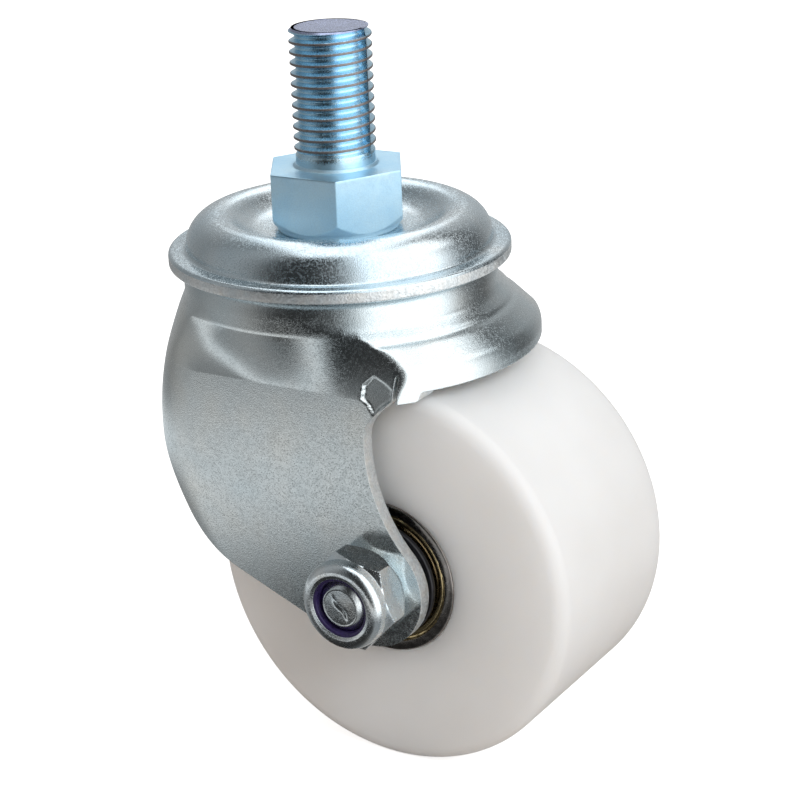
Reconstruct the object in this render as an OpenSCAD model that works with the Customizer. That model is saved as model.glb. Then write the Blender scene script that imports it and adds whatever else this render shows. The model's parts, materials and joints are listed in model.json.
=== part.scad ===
// Swivel castor with a threaded stem: a fork pressed from one steel sheet turns under a
// pressed cap on two rows of balls, and a solid plastic wheel rolls between its legs on
// two ball bearings. The origin is the centre of the hex's top face, on the swivel axis.
// +Z runs up the stem, the wheel trails to +X, and the axle's nut is at the -Y end.

/* [Stem] */
// Major diameter of the stem's thread
stem_d = 15.7; // [12:0.1:18]
// Length of the stem above the hex
stem_l = 25.8; // [15:0.1:50]
// Chamfer at the stem's tip
stem_chamfer = 0.9; // [0.4:0.1:1.5]
// Width of the hex across its flats
hex_af = 24; // [21:0.5:27]
// Height of the hex
hex_h = 10; // [8:0.5:14]
// Angle of a hex corner from +X
hex_turn = 2.7; // [0:0.1:30]
// Diameter of the collar under the hex
collar_d = 23.2; // [19:0.1:24]
// Height of the collar
collar_h = 2; // [1:0.1:4]
// Diameter of the king pin
pin_d = 14; // [12:0.5:15]
// Diameter of the king pin's riveted end
tenon_d = 12; // [10:0.5:13]
// Diameter of the riveted head
rivet_d = 18; // [15:0.5:19]
// Height of the riveted head
rivet_h = 3; // [2:0.1:4]

/* [Cap] */
// Sheet thickness of the cap
cap_t = 2.6; // [2:0.1:3]
// Diameter of the cap's flange
cap_d = 65.4; // [64:0.1:70]

/* [Ball rows] */
// Radius of the upper ball row
upper_row_r = 23.4; // [23:0.1:24]
// Diameter of the upper balls
upper_ball_d = 6; // [5.8:0.1:6.4]
// Number of upper balls
upper_count = 22; // [12:1:22]
// Radius of the lower ball row
lower_row_r = 15.5; // [15:0.1:16]
// Diameter of the lower balls
lower_ball_d = 5; // [4:0.1:5.2]
// Number of lower balls
lower_count = 18; // [8:1:18]
// Sheet thickness of the lower race
race_t = 2.4; // [1.8:0.1:3]
// Gap between a ball and its tracks
ball_gap = 0.2; // [0.1:0.05:0.3]

/* [Fork] */
// Sheet thickness of the fork
fork_t = 2.8; // [2.2:0.1:3]
// Distance over the two legs
legs_w = 53.2; // [52:0.2:56]
// Radius of the round neck under the cap
neck_r = 30; // [29.4:0.1:30.4]
// Length of the neck's straight wall
neck_l = 3.5; // [2:0.1:5]
// Radius of the front skirt
skirt_r = 38.2; // [37:0.1:40]
// Depth of the skirt's edge below the crown
skirt_l = 16.7; // [15.5:0.1:17.5]
// Widest radius of the fork's rounded back
back_r = 36.2; // [35:0.1:38]
// Rounding between the back and a leg, seen from above
leg_round = 14; // [11:0.5:16]
// Radius of a leg's end round the axle
boss_r = 11.6; // [10:0.1:13]
// Radius of the hollow in a leg's front edge
front_hollow = 30.5; // [26:0.5:36]

/* [Wheel] */
// Distance of the axle from the swivel axis
trail = 20.5; // [17:0.5:22]
// Diameter of the wheel
wheel_d = 76.2; // [70:0.2:78]
// Width of the wheel
wheel_w = 41.4; // [38:0.2:43]
// Rounding of the wheel's edges
wheel_round = 2.9; // [1:0.1:5]
// Depth of the wheel's top below the crown
wheel_drop = 17.6; // [16.5:0.1:22]

/* [Bearings] */
// Outer diameter of a bearing
bearing_d = 30; // [28:0.5:32]
// Width of a bearing
bearing_w = 9; // [8:0.5:10]
// Diameter of a bearing's balls
bearing_ball_d = 4.76; // [4:0.02:5]
// Number of balls in a bearing
bearing_count = 8; // [6:1:9]
// Width of the outer ring's face
ring_face = 1.95; // [1.5:0.05:2.2]
// Diameter of a dust washer
dust_d = 23; // [18:0.5:24]

/* [Axle] */
// Diameter of the axle bolt
axle_d = 9.9; // [8:0.1:11]
// Width of the bolt's head across its flats
head_af = 16; // [14:0.5:18]
// Height of the bolt's head
head_h = 6.4; // [5:0.1:8]
// Width of the nut across its flats
nut_af = 17; // [15:0.5:18]
// Height of the nut
nut_h = 9.7; // [8.5:0.1:12]
// Angle of a nut corner from +X, seen from the nut's side
nut_turn = -13.5; // [-30:0.5:30]

/* [Hidden] */
$fn = 96;

// Working clearances
fit_gap = 0.05;
press_gap = 0.01;
run_gap = 0.4;
pin_gap = 1.5;
hole_gap = 0.3;

// Levels of the swivel head, from the hex down
floor_top = -hex_h - collar_h;
floor_bot = floor_top - cap_t;
upper_track = upper_ball_d / 2 + ball_gap;
lower_track = lower_ball_d / 2 + ball_gap;
row_lift = 0.4;
flange_drop = 0.8;
upper_groove = 0.5;
lower_groove = 0.8;
race_drop = 1.5;
upper_z = floor_bot + row_lift;
flange_top = upper_z - flange_drop;
flange_bot = flange_top - cap_t;
crown_top = upper_z - upper_track + upper_groove;
crown_bot = crown_top - fork_t;
lower_z = crown_bot - lower_track + lower_groove;
race_top = lower_z - race_drop;
race_bot = race_top - race_t;
rivet_round = rivet_h * 0.9;

// Roundings of the cap: between floor and dome, under the flange and at the dome's foot
cove = 2.5;
under_r = cap_t + 1;
toe = 0.8;

// Places of the wheel and the leg faces
wheel_r = wheel_d / 2;
axle_z = crown_top - wheel_drop - wheel_r;
leg_out = legs_w / 2;
leg_in = leg_out - fork_t;
wheel_face = wheel_w / 2;
seat_step = 2;
mouth_chamfer = 0.4;
far_away = 60;
overlap = 1;
sheet_steps = 6;

// Shoulder of the crown, and the slope from the neck to the skirt's lip
shoulder_r = 4.2;
shoulder_x = neck_r - shoulder_r;
shoulder_z = crown_top - shoulder_r;
cheek_l = 10.4;
neck_z = shoulder_z - neck_l;
cheek_z = neck_z - cheek_l;
skirt_z = crown_top - skirt_l;
slope = 41;
lip_r = 4;
lip_rise = 1.6;
lip_x = skirt_r - lip_r;
lip_z = skirt_z + lip_rise;
cove_r = 2;
cove_x = neck_r + cove_r;
cove_z = lip_z + ((lip_x - cove_x) * cos(90 - slope) + lip_r + cove_r) / sin(90 - slope);

// Rounded back: its circle, seen from the side, leaves the neck just above the end of its straight wall
// and is widest at its middle height
back_rise = 1.42793;
back_drop = 32.6;
back_z = crown_top - back_drop;
back_h = neck_z + back_rise - back_z;
back_out = back_r - neck_r;
back_bulge = (pow(back_h, 2) + pow(back_out, 2)) / (2 * back_out);
back_x = back_r - back_bulge;
back_end = 3;
back_low = -asin((back_z - axle_z + boss_r - back_end) / back_bulge);
back_steps = 14;

// Relief slit and nib at each end of the skirt
slit_w = 0.6;
slit_l = 3.3;
slit_z = skirt_z + slit_l;
nib_l = 1.8;
nib_w = 3;
nib_round = 0.6;

// Side outline of the legs: the slanted rear edge, the lower edge and the front corner
rear_slope = 56.9;
rear_x = -29;
rear_rise = 20.6;
rear_z = axle_z + rear_rise;
low_slope = 22.2;
rear_round = 26;
knee_l = 5.9;
knee_round = 28;
corner_round = 8;
front_top_x = sqrt(pow(skirt_r, 2) - pow(leg_out, 2));
nib_x = front_top_x + slit_w + nib_w;
front_drop = 1;
front_top_z = skirt_z - front_drop;
front_slope = 42;
hollow_rise = 28.4;

// Bearing sections
bearing_r = bearing_d / 2;
pitch_r = (bearing_r + axle_d / 2 + fit_gap) / 2;
ball_track = bearing_ball_d / 2 + ball_gap;
land_h = 2;
outer_land = pitch_r + land_h;
inner_land = pitch_r - land_h;
recess_r = bearing_r - ring_face;
recess_l = 1.3;
shield_t = 0.5;
shield_gap = 0.5;
bearing_mid = wheel_face - bearing_w / 2;
cage_t = 1.4;
cage_w = 5.8;
pocket_gap = 0.12;
ring_chamfer = 0.3;
shield_bead = 0.6;

// Axle sections
bore_r = axle_d / 2 + fit_gap;
hub_r = 7.2;
dust_t = 1.2;
end_drop = 0.3;
axle_end = leg_out + nut_h - end_drop;
axle_chamfer = 1.2;
hex_cut = 30;
hex_under = 55;
hex_inset = 0.2;
nut_hex_h = 6.6;
nut_hex_top = leg_out + nut_hex_h;
nut_top = leg_out + nut_h;
bulge = 1.6;
collar_r = nut_af / 2;
insert_r = 6.6;
insert_l = 2.8;
crimp_r = 5.75;
crimp_t = 0.3;
insert_chamfer = 0.4;

function arc(x, y, r, from, to, steps) = [
    for (i = [0:steps]) let (a = from + (to - from) * i / steps) [x + r * cos(a), y + r * sin(a)]
];
function unit(v) = v / norm(v);
function turn(from, to) = (to - from + 540) % 360 - 180;

// Points of an arc of radius r that rounds the corner b between the lines from a and to c
function rounded(a, b, c, r, steps) =
    let (
        u = unit(a - b),
        v = unit(c - b),
        half = acos(u * v) / 2,
        m = b + unit(u + v) * r / sin(half),
        s = b + u * r / tan(half) - m,
        e = b + v * r / tan(half) - m,
        first = atan2(s[1], s[0])
    )
    arc(m[0], m[1], r, first, first + turn(first, atan2(e[1], e[0])), steps);

// Places on the axle: local z runs outwards at the nut's side
module on_axle() {
    translate([trail, 0, axle_z]) rotate([90, 0, 0]) children();
}

module far_side() {
    mirror([0, 1, 0]) children();
}

// Hexagonal prism with its corners cut back by a cone at the low end
module hex_block(af, low, high, cut) {
    corner = af / sqrt(3);
    intersection() {
        translate([0, 0, low]) cylinder(r = corner, h = high - low, $fn = 6);
        translate([0, 0, low]) cylinder(
            r1 = af / 2 - hex_inset, r2 = af / 2 - hex_inset + (high - low) / tan(cut),
            h = high - low);
    }
}

module stem_bolt() {
    crest = stem_d / 2;
    pin = pin_d / 2;
    tenon = tenon_d / 2;
    rivet = rivet_d / 2;
    color("lightsteelblue") union() {
        rotate_extrude() polygon(concat(
            [[0, stem_l], [crest - stem_chamfer, stem_l], [crest, stem_l - stem_chamfer]],
            [[crest, -hex_h / 2], [collar_d / 2, -hex_h / 2], [collar_d / 2, floor_top]],
            [[pin, floor_top], [pin, race_top], [tenon, race_top], [tenon, race_bot]],
            arc(rivet - rivet_round, race_bot - rivet_h + rivet_round, rivet_round, 0, -90, 4),
            [[0, race_bot - rivet_h]]
        ));
        rotate([0, 0, hex_turn]) hex_block(hex_af, -hex_h, 0, hex_under);
    }
}

// Pressed cap: a flat floor under the collar, a ring dome over the balls and a flange
module swivel_cap() {
    dome_r = upper_track + cap_t;
    wall_x = upper_row_r + upper_track;
    cove_dz = floor_top + cove - upper_z;
    cove_dx = sqrt(pow(dome_r + cove, 2) - pow(cove_dz, 2));
    cove_at = upper_row_r - cove_dx;
    color("silver") rotate_extrude() difference() {
        union() {
            translate([pin_d / 2 + press_gap, floor_bot]) square([cove_at - pin_d / 2, cap_t]);
            difference() {
                translate([cove_at - overlap, floor_bot]) square([cove_dx, cove_dz]);
                translate([cove_at - 2 * overlap, floor_top]) square([2 * overlap, cove_dz]);
                translate([cove_at, floor_top + cove]) circle(r = cove);
                translate([cove_at, floor_top + cove]) square([cove_dx, cove_dz]);
            }
            intersection() {
                translate([upper_row_r, upper_z]) circle(r = dome_r);
                translate([0, floor_bot]) square([far_away, far_away]);
            }
            translate([upper_row_r, flange_bot]) square([cap_d / 2 - upper_row_r, cap_t]);
            translate([upper_row_r, flange_bot]) square([dome_r, upper_z - flange_bot]);
            translate([upper_row_r + dome_r - toe, flange_top - toe]) square([2 * toe, 2 * toe]);
        }
        translate([upper_row_r, upper_z]) circle(r = upper_track);
        translate([0, flange_bot - overlap])
            square([wall_x, floor_bot - flange_bot + overlap]);
        difference() {
            translate([wall_x - overlap, flange_bot - overlap])
                square([under_r + overlap, under_r + overlap]);
            translate([wall_x + under_r, flange_bot + under_r]) circle(r = under_r);
        }
        translate([upper_row_r + dome_r + toe, flange_top + toe]) circle(r = toe);
    }
}

module ball_row(radius, height, ball_d, count) {
    for (i = [0:count - 1])
        rotate([0, 0, i * 360 / count]) translate([radius, 0, height]) sphere(d = ball_d, $fn = 32);
}

module upper_balls() {
    color("gainsboro") ball_row(upper_row_r, upper_z, upper_ball_d, upper_count);
}

module lower_balls() {
    color("gainsboro") ball_row(lower_row_r, lower_z, lower_ball_d, lower_count);
}

// Dished washer held by the king pin's riveted end
module lower_race() {
    color("silver") rotate_extrude() difference() {
        union() {
            translate([tenon_d / 2 + press_gap, race_bot])
                square([lower_row_r - tenon_d / 2, race_t]);
            intersection() {
                translate([lower_row_r, lower_z]) circle(r = lower_track + race_t);
                translate([tenon_d / 2 + overlap, lower_z - far_away]) square([far_away, far_away]);
            }
        }
        translate([lower_row_r, lower_z]) circle(r = lower_track);
        translate([0, race_top]) square([lower_row_r, far_away]);
    }
}

// Half section of the crown and neck, with the sheet's inner face at inset t. Below the
// neck it closes in to the legs' width, which gives each leg its sloping cheek.
function neck_section(t) = concat(
    [[0, crown_top - t]],
    arc(shoulder_x, shoulder_z, shoulder_r - t, 90, 0, sheet_steps),
    [[neck_r - t, neck_z], [leg_out - t, cheek_z], [0, cheek_z]]
);

// Half section of the front skirt: a cove, a slope and a rounded lip
function skirt_section(t, low) = concat(
    [[0, cove_z]],
    arc(cove_x, cove_z, cove_r + t, 180, 270 - slope, sheet_steps),
    arc(lip_x, lip_z, lip_r - t, 90 - slope, 0, sheet_steps),
    [[skirt_r - t, low], [0, low]]
);

// Half section of the bulging back
function back_section(t) =
    let (top = acos((neck_r - t - back_x) / (back_bulge - t)))
    let (side = arc(back_x, back_z, back_bulge - t, top, back_low, back_steps))
    concat([[0, side[0][1]]], side, [[0, side[back_steps][1]]]);

// The legs seen from above: straight sides that round into the back
module plan_area(t) {
    q = leg_round - t;
    side = leg_out - leg_round;
    x = -sqrt(pow(back_r - leg_round, 2) - pow(side, 2));
    translate([x, -leg_out + t]) square([2 * far_away, 2 * (leg_out - t)]);
    for (s = [-1, 1]) translate([x, s * side]) circle(r = q);
    intersection() {
        circle(r = back_r - t);
        polygon([[0, 0], 4 * [x, side], 4 * [x, -side]]);
    }
    translate([x, -side]) square([-x, 2 * side]);
}

// The fork seen from the side
module side_area() {
    rear_dir = [-cos(rear_slope), sin(rear_slope)];
    low_dir = [cos(low_slope), -sin(low_slope)];
    rear_at = [rear_x, rear_z];
    foot = [trail, axle_z - boss_r];
    knee = foot - [knee_l, 0];
    gap = rear_at - knee;
    along = (gap[0] * rear_dir[1] - gap[1] * rear_dir[0])
        / (-low_dir[0] * rear_dir[1] + low_dir[1] * rear_dir[0]);
    heel = knee - low_dir * along;
    hollow_z = axle_z + hollow_rise;
    hollow_x = trail + sqrt(pow(front_hollow + boss_r, 2) - pow(hollow_z - axle_z, 2));
    meet = atan2(hollow_z - axle_z, hollow_x - trail);
    throat_x = hollow_x - front_hollow;
    bend = [throat_x, front_top_z - (front_top_x - throat_x) * tan(front_slope)];
    polygon(concat(
        [[-far_away, 0], [far_away, 0], [far_away, skirt_z], [nib_x, skirt_z]],
        [[nib_x - nib_round, skirt_z - nib_l], [front_top_x + slit_w, skirt_z - nib_l]],
        [[front_top_x + slit_w, slit_z], [front_top_x, slit_z]],
        rounded([front_top_x, front_top_z], bend, [throat_x, hollow_z], corner_round, sheet_steps),
        arc(hollow_x, hollow_z, front_hollow, 180, 180 + meet, 8),
        arc(trail, axle_z, boss_r, meet, -90, 16),
        rounded(foot, knee, heel, knee_round, 4),
        rounded(knee, heel, rear_at, rear_round, sheet_steps),
        [rear_at + rear_dir * far_away]
    ));
}

// Everything inside one face of the sheet, before the side outline is cut
module fork_form(t) {
    rotate_extrude() polygon(neck_section(t));
    intersection() {
        translate([0, 0, -2 * far_away]) linear_extrude(height = 2 * far_away) plan_area(t);
        union() {
            intersection() {
                rotate_extrude() polygon(back_section(t));
                translate([-far_away, -far_away, -2 * far_away])
                    cube([far_away, 2 * far_away, 2 * far_away]);
            }
            intersection() {
                rotate_extrude() polygon(skirt_section(t, skirt_z - nib_l - t));
                translate([0, -far_away, -2 * far_away])
                    cube([far_away, 2 * far_away, 2 * far_away]);
            }
            children();
        }
    }
}

// Room for the legs before the swivel axis: down to the boss, and up beside the slits
module leg_blocks(low, high, reach) {
    translate([0, -far_away, low])
        cube([trail + boss_r + overlap, 2 * far_away, front_top_z - overlap - low]);
    translate([0, -far_away, front_top_z - 2 * overlap])
        cube([reach, 2 * far_away, high - front_top_z + 2 * overlap]);
}

// Legs and crown in one pressed sheet, with a ball track on each face of the crown
module fork() {
    low = axle_z - boss_r - overlap;
    color("lightgray") difference() {
        union() {
            difference() {
                intersection() {
                    fork_form(0) leg_blocks(low, slit_z, front_top_x);
                    translate([0, far_away, 0]) rotate([90, 0, 0])
                        linear_extrude(height = 2 * far_away) side_area();
                }
                fork_form(fork_t) leg_blocks(low - overlap, skirt_z, front_top_x + slit_w / 2);
            }
            rotate_extrude() {
                intersection() {
                    translate([upper_row_r, upper_z]) circle(r = upper_track + fork_t);
                    translate([0, crown_bot + fork_t / 2 - far_away]) square([far_away, far_away]);
                }
                intersection() {
                    translate([lower_row_r, lower_z]) circle(r = lower_track + fork_t);
                    translate([0, crown_top - fork_t / 2]) square([far_away, far_away]);
                }
            }
        }
        rotate_extrude() {
            translate([upper_row_r, upper_z]) circle(r = upper_track);
            translate([lower_row_r, lower_z]) circle(r = lower_track);
        }
        translate([0, 0, -far_away]) cylinder(r = pin_d / 2 + pin_gap, h = far_away);
        on_axle() cylinder(r = axle_d / 2 + hole_gap, h = 3 * far_away, center = true);
    }
}

module wheel() {
    seat = wheel_face - bearing_w;
    edge = wheel_r - wheel_round;
    shoulder = bearing_r - seat_step;
    bore = bearing_r + press_gap;
    mouth = bearing_r + mouth_chamfer;
    color("whitesmoke") on_axle() rotate_extrude() polygon(concat(
        [[shoulder, -seat], [shoulder, seat], [bore, seat]],
        [[bore, wheel_face - mouth_chamfer], [mouth, wheel_face]],
        arc(edge, wheel_face - wheel_round, wheel_round, 90, 0, 12),
        arc(edge, wheel_round - wheel_face, wheel_round, 0, -90, 12),
        [[mouth, -wheel_face], [bore, mouth_chamfer - wheel_face], [bore, -seat]]
    ));
}

// Outer ring: a ball track inside, and a recess in each face for its shield
module outer_ring() {
    half = bearing_w / 2;
    color("slategray") on_axle() translate([0, 0, bearing_mid]) rotate_extrude() difference() {
        polygon([
            [outer_land, recess_l - half], [recess_r, recess_l - half], [recess_r, -half],
            [bearing_r - ring_chamfer, -half], [bearing_r, ring_chamfer - half],
            [bearing_r, half - ring_chamfer], [bearing_r - ring_chamfer, half],
            [recess_r, half], [recess_r, half - recess_l],
            [outer_land, half - recess_l]
        ]);
        translate([pitch_r, 0]) circle(r = ball_track);
    }
}

module inner_ring() {
    half = bearing_w / 2;
    color("slategray") on_axle() translate([0, 0, bearing_mid]) rotate_extrude() difference() {
        translate([bore_r, -half]) square([inner_land - bore_r, bearing_w]);
        translate([pitch_r, 0]) circle(r = ball_track);
    }
}

module bearing_balls() {
    color("gainsboro") on_axle() ball_row(pitch_r, bearing_mid, bearing_ball_d, bearing_count);
}

// Pressed cage with a round pocket for each ball
module bearing_cage() {
    color("darkgoldenrod") on_axle() translate([0, 0, bearing_mid]) difference() {
        rotate_extrude() translate([pitch_r - cage_t / 2, -cage_w / 2]) square([cage_t, cage_w]);
        for (i = [0:bearing_count - 1]) rotate([0, 0, i * 360 / bearing_count])
            translate([pitch_r - cage_t, 0, 0]) rotate([0, 90, 0])
                cylinder(d = bearing_ball_d + 2 * pocket_gap, h = 2 * cage_t);
    }
}

// Two dished shields, each seated in the recess of an outer ring's face
module bearing_shields() {
    seat = bearing_w / 2 - recess_l;
    color("goldenrod") on_axle() translate([0, 0, bearing_mid]) for (s = [-1, 1])
        mirror([0, 0, s < 0 ? 1 : 0]) rotate_extrude() {
            translate([inner_land + shield_gap, seat])
                square([recess_r - press_gap - inner_land - shield_gap, shield_t]);
            intersection() {
                translate([recess_r - 2 * shield_bead, seat + shield_t / 2]) circle(r = shield_bead);
                translate([0, seat]) square([far_away, far_away]);
            }
        }
}

module spacer_sleeve() {
    half = wheel_face - bearing_w;
    color("silver") on_axle() rotate_extrude()
        translate([bore_r, -half]) square([hub_r - bore_r, 2 * half]);
}

// Flanged washer between a leg and the bearing's inner ring
module dust_washer() {
    color("dimgray") on_axle() rotate_extrude() {
        translate([bore_r, wheel_face]) square([hub_r - bore_r, leg_in - wheel_face]);
        translate([bore_r, wheel_face + run_gap]) square([dust_d / 2 - bore_r, dust_t]);
    }
}

module axle_bolt() {
    r = axle_d / 2;
    color("silver") on_axle() union() {
        rotate_extrude() polygon([
            [0, -leg_out - head_h / 2], [r, -leg_out - head_h / 2], [r, axle_end - axle_chamfer],
            [r - axle_chamfer, axle_end], [0, axle_end]
        ]);
        translate([0, 0, -leg_out]) mirror([0, 0, 1]) intersection() {
            cylinder(r = head_af / sqrt(3), h = head_h, $fn = 6);
            cylinder(r1 = head_af / 2 + head_h / tan(hex_cut), r2 = head_af / 2 - hex_inset,
                h = head_h);
        }
    }
}

// Lock nut: a hex, then a round collar crimped over the insert
module axle_nut() {
    color("silver") on_axle() difference() {
        union() {
            rotate([0, 0, nut_turn]) intersection() {
                hex_block(nut_af, leg_out, nut_hex_top, hex_under);
                translate([0, 0, leg_out]) cylinder(
                    r1 = nut_af / 2 + (nut_hex_top - leg_out) / tan(hex_cut), r2 = nut_af / 2,
                    h = nut_hex_top - leg_out);
            }
            rotate_extrude() polygon(concat(
                [[0, nut_hex_top - overlap], [collar_r, nut_hex_top - overlap]],
                arc(collar_r - bulge, nut_top - bulge, bulge, 0, 90, 8),
                [[0, nut_top]]
            ));
        }
        translate([0, 0, leg_out - overlap]) cylinder(r = bore_r, h = nut_h + 2 * overlap);
        translate([0, 0, nut_top - crimp_t - insert_l]) cylinder(r = insert_r, h = insert_l);
        translate([0, 0, nut_top - crimp_t - overlap]) cylinder(r = crimp_r, h = 2 * overlap);
    }
}

module nut_insert() {
    top = nut_top - crimp_t;
    side = insert_r - press_gap;
    color("indigo") on_axle() rotate_extrude() polygon([
        [bore_r, top - insert_l], [side, top - insert_l], [side, top],
        [bore_r + insert_chamfer, top], [bore_r, top - insert_chamfer]
    ]);
}

stem_bolt();
swivel_cap();
upper_balls();
lower_balls();
lower_race();
fork();
wheel();
outer_ring();  // near_outer_ring
inner_ring();  // near_inner_ring
bearing_balls();  // near_balls
bearing_cage();  // near_cage
bearing_shields();  // near_shields
far_side() outer_ring();  // far_outer_ring
far_side() inner_ring();  // far_inner_ring
far_side() bearing_balls();  // far_balls
far_side() bearing_cage();  // far_cage
far_side() bearing_shields();  // far_shields
spacer_sleeve();
dust_washer();  // near_dust_washer
far_side() dust_washer();  // far_dust_washer
axle_bolt();
axle_nut();
nut_insert();
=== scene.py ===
import json
import math
import bpy
import numpy as np
from mathutils import Matrix, Vector


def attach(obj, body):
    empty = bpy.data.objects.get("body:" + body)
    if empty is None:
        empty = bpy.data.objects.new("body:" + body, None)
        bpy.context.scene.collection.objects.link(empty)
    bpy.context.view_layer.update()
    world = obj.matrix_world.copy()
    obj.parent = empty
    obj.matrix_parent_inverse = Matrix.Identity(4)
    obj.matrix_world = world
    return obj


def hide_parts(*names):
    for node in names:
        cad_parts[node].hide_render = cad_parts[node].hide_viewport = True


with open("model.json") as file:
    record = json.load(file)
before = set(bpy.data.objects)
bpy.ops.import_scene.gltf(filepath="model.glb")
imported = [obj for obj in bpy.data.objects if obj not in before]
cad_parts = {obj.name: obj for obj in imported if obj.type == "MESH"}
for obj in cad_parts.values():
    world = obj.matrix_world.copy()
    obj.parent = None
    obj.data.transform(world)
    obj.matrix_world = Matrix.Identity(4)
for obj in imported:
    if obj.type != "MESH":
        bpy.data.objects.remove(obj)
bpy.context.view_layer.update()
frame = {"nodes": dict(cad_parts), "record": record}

mm = 0.001
axle = {"x": 20.5, "z": -72.6}
print("frame loaded:", len(frame["nodes"]), "CAD nodes")


# Shapes worked out as arrays, in millimetres

# Points of a circle's arc: centre plus radius times (cos, sin) of evenly spaced angles in degrees
def arcLine(cx, cy, radius, start, end, count):
    a = np.radians(np.linspace(start, end, count))
    return np.stack([cx + radius * np.cos(a), cy + radius * np.sin(a)], 1)


# A line through corners (x, y, rounding): each rounding is an arc tangent to both sides of its corner
def roundedLine(corners, count=7):
    pts = np.array([c[:2] for c in corners], float)
    out = [pts[:1]]
    for i in range(1, len(corners) - 1):
        radius = corners[i][2] if len(corners[i]) > 2 else 0
        u = pts[i - 1] - pts[i]
        v = pts[i + 1] - pts[i]
        u, v = u / np.linalg.norm(u), v / np.linalg.norm(v)
        half = math.acos(np.clip(u @ v, -1, 1)) / 2
        if radius <= 0 or half > 1.56:
            out.append(pts[i:i + 1])
            continue
        mid = pts[i] + (u + v) / np.linalg.norm(u + v) * radius / math.sin(half)
        first = pts[i] + u * radius / math.tan(half) - mid
        last = pts[i] + v * radius / math.tan(half) - mid
        a0 = math.atan2(first[1], first[0])
        turn = (math.atan2(last[1], last[0]) - a0 + math.pi) % (2 * math.pi) - math.pi
        a = a0 + turn * np.linspace(0, 1, count)
        out.append(mid + radius * np.stack([np.cos(a), np.sin(a)], 1))
    out.append(pts[-1:])
    return np.concatenate(out)


# Splits the long stretches of a line, so that no step is longer than step
def denseLine(line, step):
    out = []
    for a, b in zip(line[:-1], line[1:]):
        n = max(1, int(math.ceil(np.linalg.norm(b - a) / step)))
        out.append(a + (b - a) * np.linspace(0, 1, n, endpoint=False)[:, None])
    out.append(line[-1:])
    return np.concatenate(out)


# Rings of points (row, column, xyz) become a mesh: neighbours are joined by quads, each ring is closed,
# and the stack of rings is closed by joining the last ring to the first or by a fan to a pole at each end
def ringMesh(name, rings, joinEnds=False, sharp=35):
    rows, cols = rings.shape[:2]
    verts = rings.reshape(-1, 3)
    i = np.arange(rows if joinEnds else rows - 1)[:, None]
    j = np.arange(cols)[None, :]
    k = (i + 1) % rows
    l = (j + 1) % cols
    quads = np.stack([i * cols + j, i * cols + l, k * cols + l, k * cols + j], -1).reshape(-1, 4)
    faces = quads.tolist()
    if not joinEnds:
        poles = np.stack([rings[0].mean(0), rings[-1].mean(0)])
        verts = np.concatenate([verts, poles])
        a, c = np.arange(cols), (np.arange(cols) + 1) % cols
        base = (rows - 1) * cols
        faces += np.stack([c, a, np.full(cols, rows * cols)], 1).tolist()
        faces += np.stack([base + a, base + c, np.full(cols, rows * cols + 1)], 1).tolist()
    return solidMesh(name, verts, faces, sharp)


# Vertices and faces become a mesh in metres, turned right side out by the sign of its volume
def solidMesh(name, verts, faces, sharp=35):
    mesh = bpy.data.meshes.new(name)
    mesh.from_pydata((np.asarray(verts) * mm).tolist(), [], faces)
    mesh.update()
    tri = np.zeros(len(mesh.loop_triangles) * 3, np.int32)
    mesh.loop_triangles.foreach_get("vertices", tri)
    co = np.zeros(len(mesh.vertices) * 3)
    mesh.vertices.foreach_get("co", co)
    p = co.reshape(-1, 3)[tri.reshape(-1, 3)]
    if np.einsum("ij,ij->i", p[:, 0], np.cross(p[:, 1], p[:, 2])).sum() < 0:
        mesh.flip_normals()
    mesh.polygons.foreach_set("use_smooth", np.ones(len(mesh.polygons), bool))
    mesh.set_sharp_from_angle(angle=math.radians(sharp))
    mesh.update()
    return mesh


# Joins points that fall together and drops the faces that shrink to nothing, before the mesh is made
def weldedMesh(name, verts, faces, sharp=35):
    keys = np.round(np.asarray(verts) / 0.0005).astype(np.int64)
    uniq, first, back = np.unique(keys, axis=0, return_index=True, return_inverse=True)
    back = back.reshape(-1)
    kept = []
    for face in faces:
        ring = [back[v] for v in face]
        ring = [v for n, v in enumerate(ring) if v != ring[n - 1]]
        if len(set(ring)) == len(ring) >= 3:
            kept.append([int(v) for v in ring])
    return solidMesh(name, np.asarray(verts)[first], kept, sharp)


# Puts a mesh into the scene as a finished piece on its body, in place of the CAD nodes that it stands for
def piece(name, mesh, body, material, replaced):
    obj = bpy.data.objects.new(name, mesh)
    bpy.context.scene.collection.objects.link(obj)
    index = np.zeros(len(mesh.polygons), np.int32)
    mesh.polygons.foreach_get("material_index", index)
    mesh.materials.clear()
    for m in material if isinstance(material, list) else [material]:
        mesh.materials.append(m)
    mesh.polygons.foreach_set("material_index", index)
    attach(obj, body)
    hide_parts(*replaced)
    print("  piece", name, len(mesh.polygons), "faces")


# A profile (radius, height) turned about the swivel axis: x = r cos a, y = r sin a, z = h
def aboutSwivel(radius, height, angles):
    radius, height = np.broadcast_arrays(radius, height)
    return np.stack([radius * np.cos(angles), radius * np.sin(angles), height + 0 * angles], -1)


# A profile (radius, outward height) turned about the axle; side is 1 at the nut's end and -1 at the head's
def aboutAxle(radius, out, angles, side=1):
    radius, out = np.broadcast_arrays(radius, out)
    x, z = axle["x"] + radius * np.cos(angles), axle["z"] + radius * np.sin(angles)
    return np.stack([x, -side * (out + 0 * angles), z], -1)


# Turns a section into a mesh: each of its points becomes a ring
def lathe(name, profile, count, turnAbout, joinEnds=True, sharp=35, **more):
    angles = np.linspace(0, 2 * np.pi, count, endpoint=False)[None, :]
    rings = turnAbout(profile[:, :1], profile[:, 1:2], angles, **more)
    return ringMesh(name, rings, joinEnds, sharp)


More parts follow.
